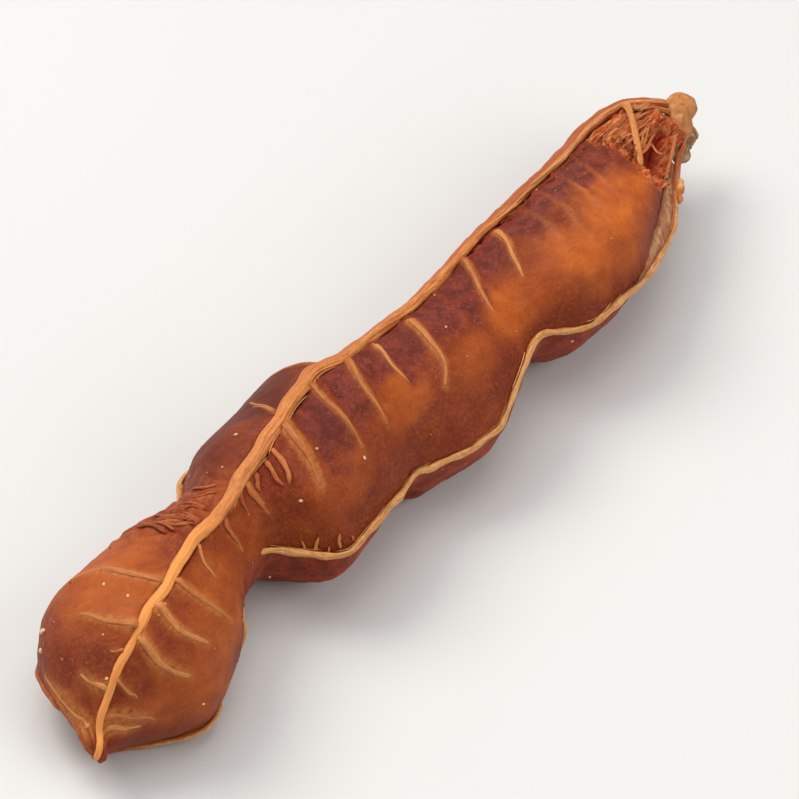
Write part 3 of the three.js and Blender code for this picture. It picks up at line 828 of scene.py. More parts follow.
class Finish:
    """A material and the nodes that make it."""

    def __init__(self, name, **constants):
        self.material = bpy.data.materials.new(name)
        self.material.use_nodes = True
        self.nodes = self.material.node_tree.nodes
        self.links = self.material.node_tree.links
        self.shader = self.nodes["Principled BSDF"]
        for socket, value in constants.items():
            self.shader.inputs[socket.replace("_", " ")].default_value = value

    def node(self, kind, settings, inputs, out=0):
        """Any node: its settings are made first, then its sockets get values or links."""
        made = self.nodes.new(kind)
        for name, value in settings.items():
            if name == "stops":
                ramp = made.color_ramp
                while len(ramp.elements) < len(value):
                    ramp.elements.new(0.5)
                for element, (position, color) in zip(ramp.elements, value):
                    element.position = position
                    element.color = (*color, 1)
            else:
                setattr(made, name, value)
        for key, value in inputs.items():
            socket = made.inputs[key]
            if isinstance(value, Wire):
                self.links.new(value.socket, socket)
            else:
                socket.default_value = value
        return Wire(self, made.outputs[out])

    def mark(self, name, out="Fac"):
        return self.node("ShaderNodeAttribute", {"attribute_name": name}, {}, out)

    def place(self):
        return self.node("ShaderNodeTexCoord", {}, {}, "Object")

    def stretched(self, vector, scale):
        return self.node("ShaderNodeMapping", {}, {"Vector": vector, "Scale": scale})

    def noise(self, vector, scale, detail, roughness, distortion=0.0):
        """Noise with scale waves to a unit of vector, which is a metre on Object coordinates."""
        inputs = {"Vector": vector, "Scale": scale, "Detail": detail, "Roughness": roughness}
        return self.node("ShaderNodeTexNoise", {}, {**inputs, "Distortion": distortion})

    def ramp(self, value, positions, colours):
        stops = list(zip(positions, colours))
        return self.node("ShaderNodeValToRGB", {"stops": stops}, {"Fac": value})

    def step(self, value, low, high):
        inputs = {"Value": value, "From Min": low, "From Max": high}
        return self.node("ShaderNodeMapRange", {"interpolation_type": "SMOOTHSTEP"}, inputs)

    def mix(self, share, first, second):
        first, second = (c if isinstance(c, Wire) else (*c, 1) for c in (first, second))
        inputs = {0: share, 6: first, 7: second}  # the factor and the two colours
        return self.node("ShaderNodeMix", {"data_type": "RGBA"}, inputs, 2)

    def layered(self, base, *layers):
        """The base colour under layers of (share, colour)."""
        for share, colour in layers:
            base = self.mix(share, base, colour)
        return base

    def bump(self, height, strength, distance):
        inputs = {"Height": height, "Strength": strength, "Distance": distance}
        return self.node("ShaderNodeBump", {}, inputs)

    def feed(self, **wires):
        """Links what changes over the surface to the shader."""
        for socket, wire in wires.items():
            self.links.new(wire.socket, self.shader.inputs[socket.replace("_", " ")])
        return self.material


def flesh_finish():
    """Sticky, slightly translucent flesh: a painted amber glow where it bulges, plum beside the
    strand.
    """
    colour = bpy.context.scene.tamarind_colours
    made = Finish(
        "flesh",
        Subsurface_Weight=0.25,
        Subsurface_Scale=0.0014,
        Subsurface_Radius=(1.0, 0.28, 0.08),
        Specular_IOR_Level=0.22,
        Coat_Roughness=0.38,
        Coat_IOR=1.4,
        IOR=1.4,
    )
    place = made.place()
    cloud = made.noise(place, 150, 4, 0.6, 0.6)
    mottle = made.noise(place, 620, 5, 0.65, 0.4)
    fine = made.noise(place, 2600, 3, 0.6)
    dust = made.noise(place, 5200, 2, 0.6)
    names = ("glow", "plum", "keel", "vein", "swell", "torn", "deep", "ray")
    glow, plum, keel, vein, swell, torn, deep, ray = (made.mark(name) for name in names)

    shades = (colour.flesh_dark, colour.flesh, colour.flesh_light)
    body = made.ramp(mottle * 0.3 + cloud * 0.3 + fine * 0.4, (0.34, 0.5, 0.66), shades)
    # Painted glow: the amber of light shining through the lobes.
    lit = made.mix(
        made.step(cloud * 0.6 + mottle * 0.4, 0.34, 0.66), tint(174, 78, 28), colour.painted_glow_amber
    )
    plum_shade = made.mix(made.step(mottle, 0.35, 0.66), tint(92, 33, 25), colour.plum)
    bloom = made.step(dust * 0.6 + fine * 0.4, 0.56, 0.68) * plum
    # Pale specks over all the flesh: partly its grain, partly painted glints.
    specks_and_glints = made.step(dust * 0.55 + fine * 0.45, 0.57, 0.69)
    keel_shade = made.mix(made.step(mottle, 0.35, 0.7), tint(118, 42, 22), colour.keel)
    streak = made.noise(made.stretched(place, (1, 3.2, 3.2)), 620, 4, 0.7)
    torn_tints = (tint(134, 42, 14), tint(190, 92, 44), tint(222, 148, 92))
    torn_shade = made.ramp(streak, (0.34, 0.5, 0.64), torn_tints)
    gold = made.mix(made.step(streak, 0.3, 0.62), tint(162, 82, 34), colour.vein)
    base = made.layered(
        body,
        # The painted glow, which also lies over the swelling round the veins.
        ((glow + swell * 0.2).clamp(), lit),
        ((ray * (mottle * 1.1 - 0.1)).clamp() * 0.6, tint(206, 134, 84)),
        ((plum * (mottle * 0.5 + 0.72)).clamp(), plum_shade),
        (bloom * 0.24, tint(176, 116, 96)),
        # The pale specks: grain and painted glints.
        (specks_and_glints * 0.16, tint(206, 128, 72)),
        (keel * 0.88, keel_shade),
        # Painted shade: dark brown over the shadowed patches.
        (made.mark("dusk") * (mottle * 0.5 + 0.6), tint(92, 32, 18)),
        ((torn * 0.95).clamp(), torn_shade),
        (made.step(vein + mottle * 0.1, 0.16, 0.74) * 0.84, gold),
        # Painted shade, a deep red, in the hollows, notches, furrow and folds.
        ((deep * (1.25 - streak * 0.6)).clamp(), tint(134, 30, 4)),
    )

    rough = 0.46 + mottle * 0.14 + plum * 0.06 + torn * 0.2
    coat = (0.03 - torn * 0.03 + cloud * 0.04).clamp()
    wrinkle = made.noise(made.stretched(place, (0.75, 1.3, 1.3)), 1050, 4, 0.62, 0.9)
    rise = wrinkle * 0.5 + fine * 0.9 + dust * 0.3 + mottle * 0.8 + (torn * streak) * 1.6
    normal = made.bump(rise, 0.85, 0.00017)
    return made.feed(Base_Color=base, Roughness=rough.clamp(), Coat_Weight=coat, Normal=normal)


def fibre_finish(name, dark, middle, pale, roughness, crust_share=0.4, **marked):
    """Dry fibre with streaks that run along the cord. Each marked colour covers its mark, and the
    band lets some of the middle colour through."""
    made = Finish(
        name,
        Subsurface_Weight=0.15,
        Subsurface_Scale=0.0006,
        Subsurface_Radius=(1.0, 0.5, 0.25),
        Specular_IOR_Level=0.35,
    )
    lay = made.mark("lay", "Vector")
    shade = made.mark("shade")
    streak = made.noise(lay, 3.1, 5, 0.62, 0.25)
    thread = made.noise(lay, 8.5, 3, 0.6)
    crust = made.noise(made.place(), 420, 4, 0.62, 0.5)
    grit = made.noise(made.place(), 2300, 3, 0.65)
    tone = streak * 0.45 + thread * 0.3 + grit * 0.2 + (shade - 0.5) * 0.5 + 0.03
    base = made.ramp(tone, (0.36, 0.5, 0.64), (dark, middle, pale))
    base = made.mix(made.step(crust, 0.56, 0.74) * crust_share, base, dark)
    for mark, colour in marked.items():
        share = (made.mark(mark) * (streak * 0.9 + 0.5)).clamp()
        if mark == "band":
            colour = made.mix(made.step(thread, 0.35, 0.65), colour, middle)
        base = made.mix(share, base, colour)
    base = made.mix(made.step(grit, 0.62, 0.72) * 0.35, base, pale)
    rough = roughness + 0.25 * (thread - 0.5)
    normal = made.bump(streak * 0.7 + thread * 0.6 + grit * 0.5 + crust * 0.3, 0.7, 0.00012)
    return made.feed(Base_Color=base, Roughness=rough.clamp(), Normal=normal)


def wood_finish():
    """Weathered bark: tan on the rounded knob, grey below it."""
    colour = bpy.context.scene.tamarind_colours
    made = Finish("stalk_bark", Specular_IOR_Level=0.3)
    place = made.place()
    flake = made.noise(place, 900, 5, 0.7, 0.5)
    cloud = made.noise(place, 330, 3, 0.55)
    speck = made.noise(place, 1900, 3, 0.6)
    knob, crease = made.mark("knob"), made.mark("crease")
    greys = (tint(108, 74, 48), colour.bark, tint(196, 162, 122))
    grey = made.ramp(flake * 0.7 + speck * 0.3, (0.36, 0.5, 0.62), greys)
    tans = (tint(150, 88, 46), tint(192, 124, 70), tint(214, 158, 106))
    tan = made.ramp(flake * 0.35 + cloud * 0.35 + speck * 0.3, (0.38, 0.5, 0.62), tans)
    base = made.mix(made.step(knob + cloud * 0.5 - 0.25, 0.3, 0.6), grey, tan)
    # Painted shade in the crease.
    base = made.mix(crease * 0.8, base, tint(44, 28, 20))
    rough = 0.66 + 0.2 * flake
    normal = made.bump(flake * 0.7 + speck * 0.4, 0.8, 0.0002)
    return made.feed(Base_Color=base, Roughness=rough.clamp(), Normal=normal)


def film_finish():
    """Thin dry skin, greyish tan."""
    made = Finish(
        "dry_film", Specular_IOR_Level=0.3, Subsurface_Weight=0.2, Subsurface_Scale=0.0005
    )
    place = made.place()
    patch = made.noise(place, 420, 4, 0.6, 0.6)
    fine = made.noise(place, 1900, 3, 0.6)
    tans = (tint(136, 78, 46), tint(178, 118, 78), tint(208, 162, 118))
    base = made.ramp(patch * 0.65 + fine * 0.35, (0.38, 0.5, 0.62), tans)
    base = made.mix(made.mark("browned") * 0.75, base, tint(136, 68, 36))
    tan = made.mix(made.step(patch, 0.4, 0.6), tint(190, 108, 54), tint(224, 164, 104))
    base = made.mix(made.mark("ruddy"), base, tan)
    normal = made.bump(patch * 0.6 + fine * 0.5, 0.5, 0.00015)
    return made.feed(Base_Color=base, Roughness=(0.45 + 0.3 * fine).clamp(), Normal=normal)


def crumb_finish():
    """Crumbs from brown to cream."""
    made = Finish("crumb", IOR=1.45, Subsurface_Weight=0.2, Subsurface_Scale=0.0003)
    tone = made.mark("shade")
    patch = made.noise(made.place(), 2400, 2, 0.5)
    tans = (tint(116, 52, 24), tint(196, 120, 58), tint(240, 214, 176))
    base = made.ramp(tone * 0.8 + patch * 0.2, (0.15, 0.45, 0.85), tans)
    normal = made.bump(patch, 0.5, 0.0001)
    return made.feed(Base_Color=base, Roughness=0.5 + 0.3 * patch, Normal=normal)


def stage_finish():
    """A pale, almost even floor."""
    made = Finish("glazed_board", IOR=1.45)
    cloud = made.noise(made.place(), 5, 2, 0.5)
    base = made.mix(made.step(cloud, 0.3, 0.7), tint(221, 220, 217), tint(225, 224, 221))
    return made.feed(Base_Color=base, Roughness=0.5 + 0.05 * cloud)


# ---- Sizes and colours that a user would change ----------------------------------------------


def form_property(name, description, default, most):
    return bpy.props.FloatProperty(
        name=name, description=description, default=default, min=0, max=most
    )


def count_property(name, description, default):
    return bpy.props.IntProperty(name=name, description=description, default=default, min=0)


def colour_property(name, description, colour):
    return bpy.props.FloatVectorProperty(
        name=name, description=description, default=colour, subtype="COLOR", size=3, min=0, max=1
    )


class TamarindForm(bpy.types.PropertyGroup):
    """Relief of the flesh and the strands."""

    vein_height: form_property("Vein height", "Height of the cross veins in mm", 0.3, 0.6)
    furrow_depth: form_property(
        "Furrow depth", "Depth of the furrow under the thick strand over its half width", 0.57, 1.2
    )
    lumpiness: form_property("Lumpiness", "How uneven the lobes are", 1.0, 2)
    groove: form_property(
        "Fibre grooves", "Depth of the grooves along the strands over their size", 0.1, 0.4
    )
    loose_fibres: count_property("Loose fibres", "Fibres that stand off the thick strand", 40)
    crumbs: count_property("Crumbs", "Specks that stick to the flesh", 130)


class TamarindColours(bpy.types.PropertyGroup):
    """Colours of the pod's parts."""

    flesh: colour_property("Flesh", "Middle tone of the flesh", tint(132, 53, 23))
    flesh_dark: colour_property("Dark flesh", "Its darker mottling", tint(108, 38, 17))
    flesh_light: colour_property("Light flesh", "Its lighter mottling", tint(158, 71, 31))
    # The colour of the painted glow where light shines through the lobes.
    painted_glow_amber: colour_property("Amber", "Where the lobes glow", tint(208, 108, 36))
    plum: colour_property("Plum", "The cells beside the thick strand", tint(134, 55, 43))
    keel: colour_property("Keel", "The underside beyond the margins", tint(166, 64, 34))
    vein: colour_property("Vein", "The cross veins", tint(198, 120, 58))
    strand: colour_property("Strand", "The thick strand", tint(204, 122, 60))
    margin: colour_property("Margin strand", "The thin strands", tint(208, 138, 72))
    bark: colour_property("Bark", "The stalk", tint(162, 120, 80))


# ---- Operators ------------------------------------------------------------------------------


class PodOperator:
    """What the operators that add a piece share."""

    bl_options = {"REGISTER", "UNDO"}


class TAMARIND_OT_flesh(PodOperator, bpy.types.Operator):
    """Add the lobes of flesh, with veins, furrow, seams and the torn place under the stalk"""

    bl_idname = "tamarind.flesh"
    bl_label = "Flesh"

    def execute(self, context):
        heap = Heap()
        shape, on_ball = ball(FLESH_SIDES, FLESH_RINGS)
        share = np.arccos(np.clip(on_ball[:, 2], -1, 1)) / np.pi
        # The rings crowd together at both ends and over the tear.
        fine_x = np.linspace(BEAK_X, STALK_X, 2000)
        at_beak = np.exp(-(fine_x - BEAK_X) / 1.6)
        at_stalk = np.exp(-(STALK_X - fine_x) / 2.2)
        crowd = 1 + 2.5 * at_beak + 2.0 * at_stalk + 0.35 * bell(fine_x - 44, 5)
        reached = np.concatenate([[0], np.cumsum((crowd[1:] + crowd[:-1]) / 2)])
        x = np.interp(share, reached / reached[-1], fine_x)
        a = np.arctan2(on_ball[:, 1], on_ball[:, 0])
        pole = np.minimum(share, 1 - share) < 1e-6
        relief, masks = flesh_form(x, a)
        relief = np.where(pole, 0, relief * closing(x))
        places = skin(x, a) + outward(x, a) * relief[:, None]
        places[:, 2] = np.maximum(places[:, 2], 0)
        heap.add(shape, places, **masks)
        heap.piece("flesh", flesh_finish(), ["pulp"])
        return {"FINISHED"}


class TAMARIND_OT_vein_threads(PodOperator, bpy.types.Operator):
    """Add the thin fibres that run along the cross veins"""

    bl_idname = "tamarind.vein_threads"
    bl_label = "Vein threads"

    def execute(self, context):
        random = np.random.RandomState(VEIN_SEED)
        draw = random.uniform
        heap = Heap()
        t = np.linspace(0, 1, VEIN_STEPS)
        for bold, knots in VEINS:
            x, a = path_of(knots, VEIN_STEPS)
            wave = draw(0, 6)
            x = x + 0.1 * np.sin(7 * t + wave)
            half = 0.36 * bold * (1 - 0.6 * t**0.8) * (1 + 0.16 * np.sin(9 * t + wave))
            shade = draw(0.35, 0.65)
            heap.cord(laid(x, a, -0.03), outward(x, a), half, 0.42, 10, None, shade)
            if knots[0][0] < -40:  # the beak's lobe has single threads
                continue
            part = np.linspace(draw(0, 0.3), draw(0.5, 0.9), 18)
            side_x = np.interp(part, t, x) + random.choice([-1, 1]) * (0.1 + 0.3 * part)
            side_a = np.interp(part, t, a)
            thin, shade = 0.1 - 0.06 * part, draw(0.3, 0.6)
            heap.cord(laid(side_x, side_a), outward(side_x, side_a), thin, 0.7, 6, None, shade)
        tints = (tint(168, 88, 38), tint(202, 120, 58), tint(222, 150, 86))
        heap.piece("vein_threads", fibre_finish("vein_fibre", *tints, 0.5))
        return {"FINISHED"}


class TAMARIND_OT_thick_strand(PodOperator, bpy.types.Operator):
    """Add the thick strand from the stalk to the beak, with its side strand and loose fibres"""

    bl_idname = "tamarind.thick_strand"
    bl_label = "Thick strand"

    def execute(self, context):
        form, colour = context.scene.tamarind_form, context.scene.tamarind_colours
        random = np.random.RandomState(STRAND_SEED)
        draw = random.uniform
        heap = Heap()
        x = np.linspace(STRAND_FROM_X, STRAND_TO_X, STRAND_STEPS)
        route, out = skin_route(x, strand_angle, strand_lift, STRAND_END, STRAND_TIP)
        route = wandering(route, 0.05, (0, 50), (2.4, 2.1))
        at_x = route[:, 0]
        half = strand_half(at_x) * (1 + 0.06 * grain(route, 3.1) + 0.04 * grain(route, 0.9))
        half *= 0.87 + 0.13 * smooth_step(-14, 4, at_x)

        def groove(run, turn):
            twist = turn + 0.05 * run + 0.5 * np.sin(run / 11)
            bundle = np.abs(np.sin(5 * twist + 0.7 * np.sin(run / 5)))
            strands = grain(round_cord(twist, run / 6, 1.7), 0.42)
            nick = other_grain(round_cord(turn, run / 1.6), 0.8)
            return 1 + form.groove * (0.5 * bundle**0.6 - 0.35 + 0.9 * strands + 0.55 * nick)

        # The band is on the inner side by the stalk, the ruddy sheath on the outer side, and the
        # strand is more golden over the beak's lobe.
        def band(at_x, turn):
            return smooth_step(18, 34, at_x) * bell(np.degrees(turn) + 28, 46)

        def sheath(at_x, turn):
            starts = 62 - 44 * smooth_step(0, 34, at_x)
            share = 0.5 * smooth_step(-24, -4, at_x) + 0.5 * smooth_step(2, 30, at_x)
            return share * smooth_step(starts - 12, starts + 12, np.abs(np.degrees(turn)))

        def golden(at_x, turn):
            return 0.15 * smooth_step(-4, -14, at_x) + 0.85 * smooth_step(-30, -42, at_x)

        marks = {"band": band, "sheath": sheath, "golden": golden}
        heap.cord(route, out, half, STRAND_FLATNESS, 56, groove, 0.5, 3, **marks)

        # The short strand over the near flank, next to the stalk.
        t = np.linspace(0, 1, 40)
        a = np.radians(SIDE_STRAND_REACH * t)
        x = SIDE_STRAND_X + SIDE_STRAND_LEAN * t * t
        side = skin(x, a) + outward(x, a) * (0.28 - 0.8 * t**3)[:, None]
        half = 0.48 - 0.14 * t + 0.05 * np.sin(9 * t)
        heap.cord(side, outward(x, a), half, 0.6, 20, groove, 0.56)

        # Loose fibres: they follow the strand and part from it at their ends.
        t = np.linspace(0, 1, 18)
        parting = (2 * t - 1) ** 4
        for _ in range(form.loose_fibres):
            start = draw(STRAND_FROM_X + 4, STRAND_TO_X - 5)
            x = np.minimum(start + draw(3, 13) * t, STRAND_TO_X - 0.5)
            side_of = random.choice([-1, 1]) * draw(0.78, 1.0)
            off = strand_half(x) + 0.04 + draw(0.0, 0.35) * parting
            a = strand_angle(x) + side_of * off / girth(x)
            lift = 0.24 + 0.2 * parting * draw(0, 1) + 0.08 * np.sin(5 * t)
            thin = draw(0.06, 0.11) * (1 - 0.3 * t)
            heap.fibre(x, a, lift, thin, draw(0.2, 0.7))
        marked = {
            "golden": tint(246, 158, 80),
            "band": tint(236, 184, 122),
            "sheath": tint(172, 84, 46),
        }
        tints = (tint(158, 80, 38), colour.strand, tint(222, 152, 88))
        finish = fibre_finish("strand_fibre", *tints, 0.56, 0.3, **marked)
        heap.piece("thick_strand", finish, ["main_strand"])
        return {"FINISHED"}


class TAMARIND_OT_margin_strands(PodOperator, bpy.types.Operator):
    """Add the thin golden strands along the two margins"""

    bl_idname = "tamarind.margin_strands"
    bl_label = "Margin strands"

    def execute(self, context):
        form, colour = context.scene.tamarind_form, context.scene.tamarind_colours
        random = np.random.RandomState(MARGIN_SEED)
        draw = random.uniform
        tints = (tint(150, 82, 36), colour.margin, tint(238, 190, 124))
        finish = fibre_finish("margin_fibre", *tints, 0.5, 0.45, ruddy=tint(160, 66, 28))

        def groove(run, turn):
            return 1 + form.groove * (1.6 * other_grain(round_cord(turn, run / 4, 1.2), 0.5) - 0.1)

        # The strand is ruddy at its ends and along its underside.
        def ruddy(at_x, turn):
            low = smooth_step(-20, -70, (np.degrees(turn) + 180) % 360 - 180)
            ends = smooth_step(41, 45, at_x) + smooth_step(-49, -54, at_x)
            return np.clip(ends + 0.6 * low, 0, 0.9)

        for name, angle_at, lift_at, end in (
            ("margin_strand_near", near_angle, near_lift, NEAR_END),
            ("margin_strand_far", far_angle, far_lift, FAR_END),
        ):
            heap = Heap()
            x = np.linspace(MARGIN_FROM_X, MARGIN_TO_X, MARGIN_STEPS)
            route, out = skin_route(x, angle_at, lift_at, end)
            route = wandering(route, 0.09, (9, 60), (1.9, 1.5))
            route[:, 2] = np.maximum(route[:, 2], 0.5)
            half = margin_half(route[:, 0]) * (0.8 + 0.24 * grain(route, 1.5))
            half *= 1 + 0.25 * smooth_step(22, 32, route[:, 0])
            heap.cord(route, out, half, MARGIN_FLATNESS, 24, groove, 0.55, 3, ruddy=ruddy)
            t = np.linspace(0, 1, FIBRE_STEPS)
            for _ in range(MARGIN_FIBRES):
                start = draw(MARGIN_FROM_X + 2, MARGIN_TO_X - 8)
                x = start + draw(2.5, 8) * t
                bow = draw(0.02, 0.3) * (2 * t - 1) ** 2
                a = angle_at(x) + random.choice([-1, 1]) * (0.36 + bow) / girth(x)
                lift = lift_at(x) - 0.2 + 0.08 * np.sin(4 * t)
                thin = np.full(len(t), draw(0.06, 0.11))
                heap.fibre(x, a, lift, thin, draw(0.2, 0.8), lowest=0.12)
            heap.piece(name + "_fibres", finish, [name])
        return {"FINISHED"}


class TAMARIND_OT_film(PodOperator, bpy.types.Operator):
    """Add the dry skin between the near margin strand and the lobe by the stalk"""

    bl_idname = "tamarind.film"
    bl_label = "Dry skin"

    def execute(self, context):
        heap = Heap()
        x = np.linspace(FILM_FROM_X, FILM_TO_X, FILM_STEPS)
        a = near_angle(x)
        string = skin(x, a) + outward(x, a) * near_lift(x)[:, None]
        spots = np.stack([x, 0 * x, 0 * x], -1)
        reach = FILM_REACH + 0.35 * grain(spots, 2.3) + 0.2 * grain(spots, 0.6)
        reach *= 0.3 + 0.7 * smooth_step(FILM_FROM_X, 32, x)
        reach -= 0.8 * smooth_step(40, 43.5, x)
        inner = a - reach / girth(x)
        root = skin(x, inner) + outward(x, inner) * 0.05
        middle, gap = (string + root) / 2, string - root
        out = unit(np.cross(gap, np.gradient(middle, axis=0)))
        out *= np.sign((out * outward(x, a)).sum(axis=1))[:, None]
        half = 0.5 * np.linalg.norm(gap, axis=1)

        def crumple(run, turn):
            ragged = grain(round_cord(turn, run / 1.3), 0.7)
            return 1 + 0.2 * np.abs(np.sin(turn)) * ragged

        def browned(at_x, turn):
            inner_edge = smooth_step(-0.5, -0.95, np.cos(turn))
            return smooth_step(30, 27, at_x) + smooth_step(40, 43, at_x) + inner_edge

        def ruddy(at_x, turn):
            return np.ones_like(at_x)

        heap.cord(middle, out, half, 0.08, 20, crumple, 0.5, 24, browned=browned)
        # A scrap of it outside the strand.
        t = np.linspace(0, 1, FIBRE_STEPS)
        x = SCRAP_FROM_X + SCRAP_LENGTH * t
        a = near_angle(x) - 0.35 / girth(x)
        out = outward(x, a)
        scrap = skin(x, a) + out * (near_lift(x) + 0.5)[:, None]
        half = SCRAP_HALF * (1 + 0.5 * np.sin(11 * t + 1) * np.sin(4 * t))
        heap.cord(scrap, out, half, 0.6, 14, crumple, 0.5, 5, ruddy=ruddy)
        heap.piece("dry_film", film_finish())
        return {"FINISHED"}


class TAMARIND_OT_stalk(PodOperator, bpy.types.Operator):
    """Add the broken woody stalk, grown together from rounded lumps"""

    bl_idname = "tamarind.stalk"
    bl_label = "Stalk"

    def execute(self, context):
        solid = bmesh.new()
        for at, size in LUMPS:
            made = bmesh.ops.create_icosphere(solid, subdivisions=4, radius=1)["verts"]
            for vertex in made:
                vertex.co = Vector(at) + Vector(c * s for c, s in zip(vertex.co, size))
        mesh = mesh_of("stalk_lumps", solid)
        lumps = object_of("stalk_lumps", mesh)
        weld = lumps.modifiers.new("Weld", "REMESH")
        weld.mode = "VOXEL"
        weld.voxel_size = LUMP_VOXEL
        context.view_layer.update()
        welded = lumps.evaluated_get(context.evaluated_depsgraph_get())
        joined = bpy.data.meshes.new_from_object(welded)
        bpy.data.objects.remove(lumps)
        bpy.data.meshes.remove(mesh)
        shape = bmesh.new()
        shape.from_mesh(joined)
        bpy.data.meshes.remove(joined)
        axes = {"use_axis_x": True, "use_axis_y": True, "use_axis_z": True}
        for _ in range(LUMP_SMOOTHINGS):
            bmesh.ops.smooth_vert(shape, verts=shape.verts, factor=0.5, **axes)
        shape.normal_update()
        points = vertices_of(shape)
        normals = np.array([v.normal for v in shape.verts], float)
        knob = smooth_step(7.6, 8.8, points[:, 2] + 0.5 * (points[:, 0] - 52))
        bark = 0.25 * grain.rough(points, 1.4) + 0.16 * np.abs(other_grain(points, 0.7)) - 0.08
        # A crease in the grey bark, sunk in here and painted dark with shade by its finish.
        line = points[:, 0] - 52.3 + 0.5 * (points[:, 1] + 0.5) + 0.4 * other_grain(points, 1.2)
        crease = bell(line, 0.22) * smooth_step(8.6, 7.9, points[:, 2]) * (points[:, 1] < 0.9)
        points = points + normals * (bark * (1 - 0.6 * knob) - 0.3 * crease)[:, None]
        heap = Heap()
        heap.add(shape, points, knob=knob, crease=crease)
        heap.piece("stalk_wood", wood_finish(), ["stalk"])
        return {"FINISHED"}


class TAMARIND_OT_torn_fibres(PodOperator, bpy.types.Operator):
    """Add the torn fibres under the stalk, at the waist and along the furrow"""

    bl_idname = "tamarind.torn_fibres"
    bl_label = "Torn fibres"

    def execute(self, context):
        random = np.random.RandomState(TORN_SEED)
        draw = random.uniform
        heap = Heap()
        # In the tear they run side by side with the thick strand.
        t = np.linspace(0, 1, FIBRE_STEPS)
        edge = np.array(TORN_EDGE, float).T
        for _ in range(TEAR_FIBRES):
            a0 = 9 + 68 * random.beta(1.1, 1.4)
            start = np.interp(a0, *edge) + draw(-0.3, 3.5)
            x = np.minimum(start + draw(2.5, 7) * t, 48.6)
            a = np.radians(a0 + draw(-7, 7) * t + 2 * np.sin(5 * t + a0))
            rise = -0.44 + draw(0.0, 0.18) + 0.05 * np.sin(6 * t + a0)
            half = draw(0.09, 0.25) * (1 - 0.4 * t)
            heap.fibre(x, a, rise, half, draw(0.3, 0.75), 0.36, 8)
        # Others reach over to the stalk and to the thick strand's end.
        for a0 in draw(4, 46, BRIDGES):
            start, leave = skin(np.array([46.4, 47.6]), np.radians([a0, a0 + 3]))
            share = (a0 - 4) / 54
            end = np.array([52.0, 2.4 - 1.0 * share, 9.9 - 1.2 * share])
            end = end + draw(-0.4, 0.4, 3)
            path = np.stack([start, leave, *bend(start, leave, draw(0.5, 2.0), end, 12)])
            out = np.repeat(outward(np.array([47.0]), np.radians([a0])), len(path), axis=0)
            half = np.full(len(path), draw(0.08, 0.18) * (1 + 1.4 * bell(a0, 16)))
            heap.cord(path, out, half, 0.6, 8, None, draw(0.3, 0.9))
        # Short ones hang over the tear's lower edge and in the hollow.
        for _ in range(EDGE_FIBRES):
            a0 = draw(30, 78)
            x0 = np.interp(a0, *edge) + draw(0.0, 1.0)
            x = x0 + draw(-1.4, 1.6) * t
            a = np.radians(a0 + draw(-7, 7) * t)
            rise = -0.35 + draw(0.2, 0.6) * np.sin(np.pi * t)
            half = draw(0.07, 0.15) * (1 - 0.4 * t)
            heap.fibre(x, a, rise, half, draw(0.0, 0.7), 0.8)
        run = np.linspace(0, 1, 24)
        for knots, rise, half, shade in TORN_PATHS:
            x, a = path_of(knots, len(run))
            lift = rise + 0.12 * np.sin(3.1 * run) + np.maximum(flesh_form(x, a)[0], 0)
            half = half * (1 - 0.45 * run**2) * (1 + 0.12 * np.sin(17 * run + 40 * half))
            heap.fibre(x, a, lift, half, shade, 0.6, 12, 7)
        # Along the furrow's ragged edge.
        for _ in range(FURROW_FIBRES):
            x0 = draw(14, 38)
            a0 = (strand_half(x0) + draw(0.3, 1.1)) / girth(np.array(x0))
            x = x0 + draw(0.5, 1.8) * (t - 0.5)
            a = strand_angle(x) + a0 + 0.05 * np.sin(4 * t + x0) + draw(-0.04, 0.08) * t
            rise = -0.1 + draw(0.05, 0.3) * t**2 + 0.06 * np.sin(6 * t)
            half = draw(0.05, 0.11) * (1 - 0.6 * t)
            heap.fibre(x, a, rise, half, draw(0.0, 0.5), 0.8)
        # Folds over the far side of the waist.
        for _ in range(WAIST_FOLDS):
            x0 = draw(-38, -27)
            a = np.radians(-draw(8, 26) - draw(20, 46) * t)
            x = x0 + draw(-0.9, 0.9) * t + 0.25 * np.sin(4 * t + x0)
            half = draw(0.18, 0.36) * (1 - 0.5 * t)
            rise = 0.1 + 0.1 * np.sin(5 * t + x0)
            heap.fibre(x, a, rise, half, draw(0.05, 0.5), 0.7, 8, 4)
        tints = (tint(146, 62, 24), tint(184, 94, 40), tint(212, 134, 72))
        heap.piece("torn_fibres", fibre_finish("torn_fibre", *tints, 0.6))
        return {"FINISHED"}


class TAMARIND_OT_crumbs(PodOperator, bpy.types.Operator):
    """Add the crumbs that stick to the flesh"""

    bl_idname = "tamarind.crumbs"
    bl_label = "Crumbs"

    def execute(self, context):
        draw = np.random.RandomState(CRUMB_SEED).uniform
        heap = Heap()
        placed_x, placed_angle, placed_size = np.array(CRUMBS).T
        loose = max(context.scene.tamarind_form.crumbs - len(CRUMBS), 0)
        x = np.concatenate([placed_x, draw(-55, 48, loose)])
        a = np.radians(np.concatenate([placed_angle, draw(-110, 150, loose)]))
        sizes = np.concatenate([placed_size, draw(0.07, 0.15, loose)])
        shades = np.concatenate([0 * placed_size + 0.78, draw(0, 0.9, loose)])
        for spot, up, size, shade in zip(laid(x, a, 0.02), outward(x, a), sizes, shades):
            shape = bmesh.new()
            bmesh.ops.create_icosphere(shape, subdivisions=1, radius=1)
            stretch = size * np.array([draw(0.8, 1.4), 1, draw(0.6, 1.0)])
            spin = Matrix.Rotation(draw(0, 6), 3, "Z")
            turn = Vector(up).to_track_quat("Z", "Y").to_matrix() @ spin
            count = len(shape.verts)
            local = vertices_of(shape) * stretch * draw(0.8, 1.2, (count, 1))
            places = local @ np.array(turn).T + spot
            places[:, 2] = np.maximum(places[:, 2], 0.02)
            heap.add(shape, places, shade=np.full(count, shade))
        heap.piece("crumbs", crumb_finish(), smooth=False)
        return {"FINISHED"}


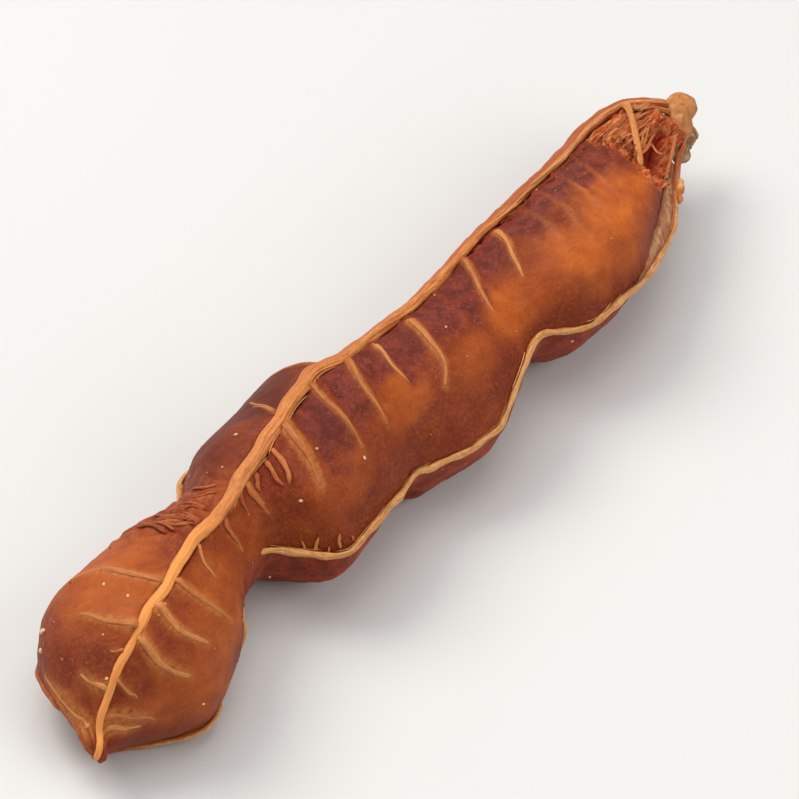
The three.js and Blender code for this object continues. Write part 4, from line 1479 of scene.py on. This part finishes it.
class TAMARIND_OT_stage(PodOperator, bpy.types.Operator):
    """Add the pale floor, the soft lights and the camera"""

    bl_idname = "tamarind.stage"
    bl_label = "Stage"

    def execute(self, context):
        grid = bmesh.new()
        bmesh.ops.create_grid(grid, x_segments=2, y_segments=2, size=FLOOR_SIZE)
        floor = object_of("floor", mesh_of("floor", grid))
        floor.data.materials.append(stage_finish())

        # Directions on the floor: right and away from the camera.
        heading, tilt = math.radians(CAMERA_HEADING), math.radians(CAMERA_TILT)
        right = Vector((math.cos(heading), -math.sin(heading), 0))
        away = Vector((math.sin(heading), math.cos(heading), 0))
        up = Vector((0, 0, 1))
        for name, place, size, power, colour in LAMPS:
            data = bpy.data.lights.new(name, "AREA")
            data.shape, data.size, data.energy, data.color = "DISK", size, power, colour
            lamp = object_of(name, data)
            lamp.location = right * place[0] + away * place[1] + up * place[2]
            lamp.rotation_euler = (-lamp.location).to_track_quat("-Z", "Y").to_euler()

        world = bpy.data.worlds.new("studio")
        world.use_nodes = True
        sky = world.node_tree.nodes["Background"].inputs
        sky["Color"].default_value = SKY_COLOUR
        sky["Strength"].default_value = SKY_STRENGTH
        context.scene.world = world
        context.scene.view_settings.view_transform = "Standard"

        # The camera stands off the beak's end of the near flank and looks down at it.
        data = bpy.data.cameras.new("camera")
        data.sensor_width, data.lens = 36, CAMERA_LENS
        data.clip_start, data.clip_end = 0.01, 10
        camera = object_of("camera", data)
        camera.location = CAMERA_AT
        back = (camera.location - Vector(CAMERA_TO)).normalized()
        lens_up = away * math.sin(tilt) + up * math.cos(tilt)
        side = lens_up.cross(back).normalized()
        camera.rotation_mode = "QUATERNION"
        facing = Matrix((side, back.cross(side), back)).transposed()
        camera.rotation_quaternion = facing.to_quaternion()
        context.scene.camera = camera
        return {"FINISHED"}


class TAMARIND_PT_panel(bpy.types.Panel):
    """Lists the pod's pieces, sizes and colours"""

    bl_idname = "TAMARIND_PT_panel"
    bl_label = "Tamarind Pod"
    bl_space_type = "VIEW_3D"
    bl_region_type = "UI"
    bl_category = "Tamarind"

    def draw(self, context):
        for step in STEPS:
            self.layout.operator(step.bl_idname)
        for group in (context.scene.tamarind_form, context.scene.tamarind_colours):
            box = self.layout.box()
            for name in group.__annotations__:
                box.prop(group, name)


STEPS = (
    TAMARIND_OT_stage,
    TAMARIND_OT_flesh,
    TAMARIND_OT_vein_threads,
    TAMARIND_OT_thick_strand,
    TAMARIND_OT_margin_strands,
    TAMARIND_OT_film,
    TAMARIND_OT_torn_fibres,
    TAMARIND_OT_stalk,
    TAMARIND_OT_crumbs,
)
CLASSES = (TamarindForm, TamarindColours, *STEPS, TAMARIND_PT_panel)


def register():
    for one in CLASSES:
        bpy.utils.register_class(one)
    bpy.types.Scene.tamarind_form = bpy.props.PointerProperty(type=TamarindForm)
    bpy.types.Scene.tamarind_colours = bpy.props.PointerProperty(type=TamarindColours)


def unregister():
    del bpy.types.Scene.tamarind_form
    del bpy.types.Scene.tamarind_colours
    for one in reversed(CLASSES):
        bpy.utils.unregister_class(one)


def main():
    register()
    for step in STEPS:
        group, name = step.bl_idname.split(".")
        getattr(getattr(bpy.ops, group), name)()


if __name__ == "__main__":
    main()
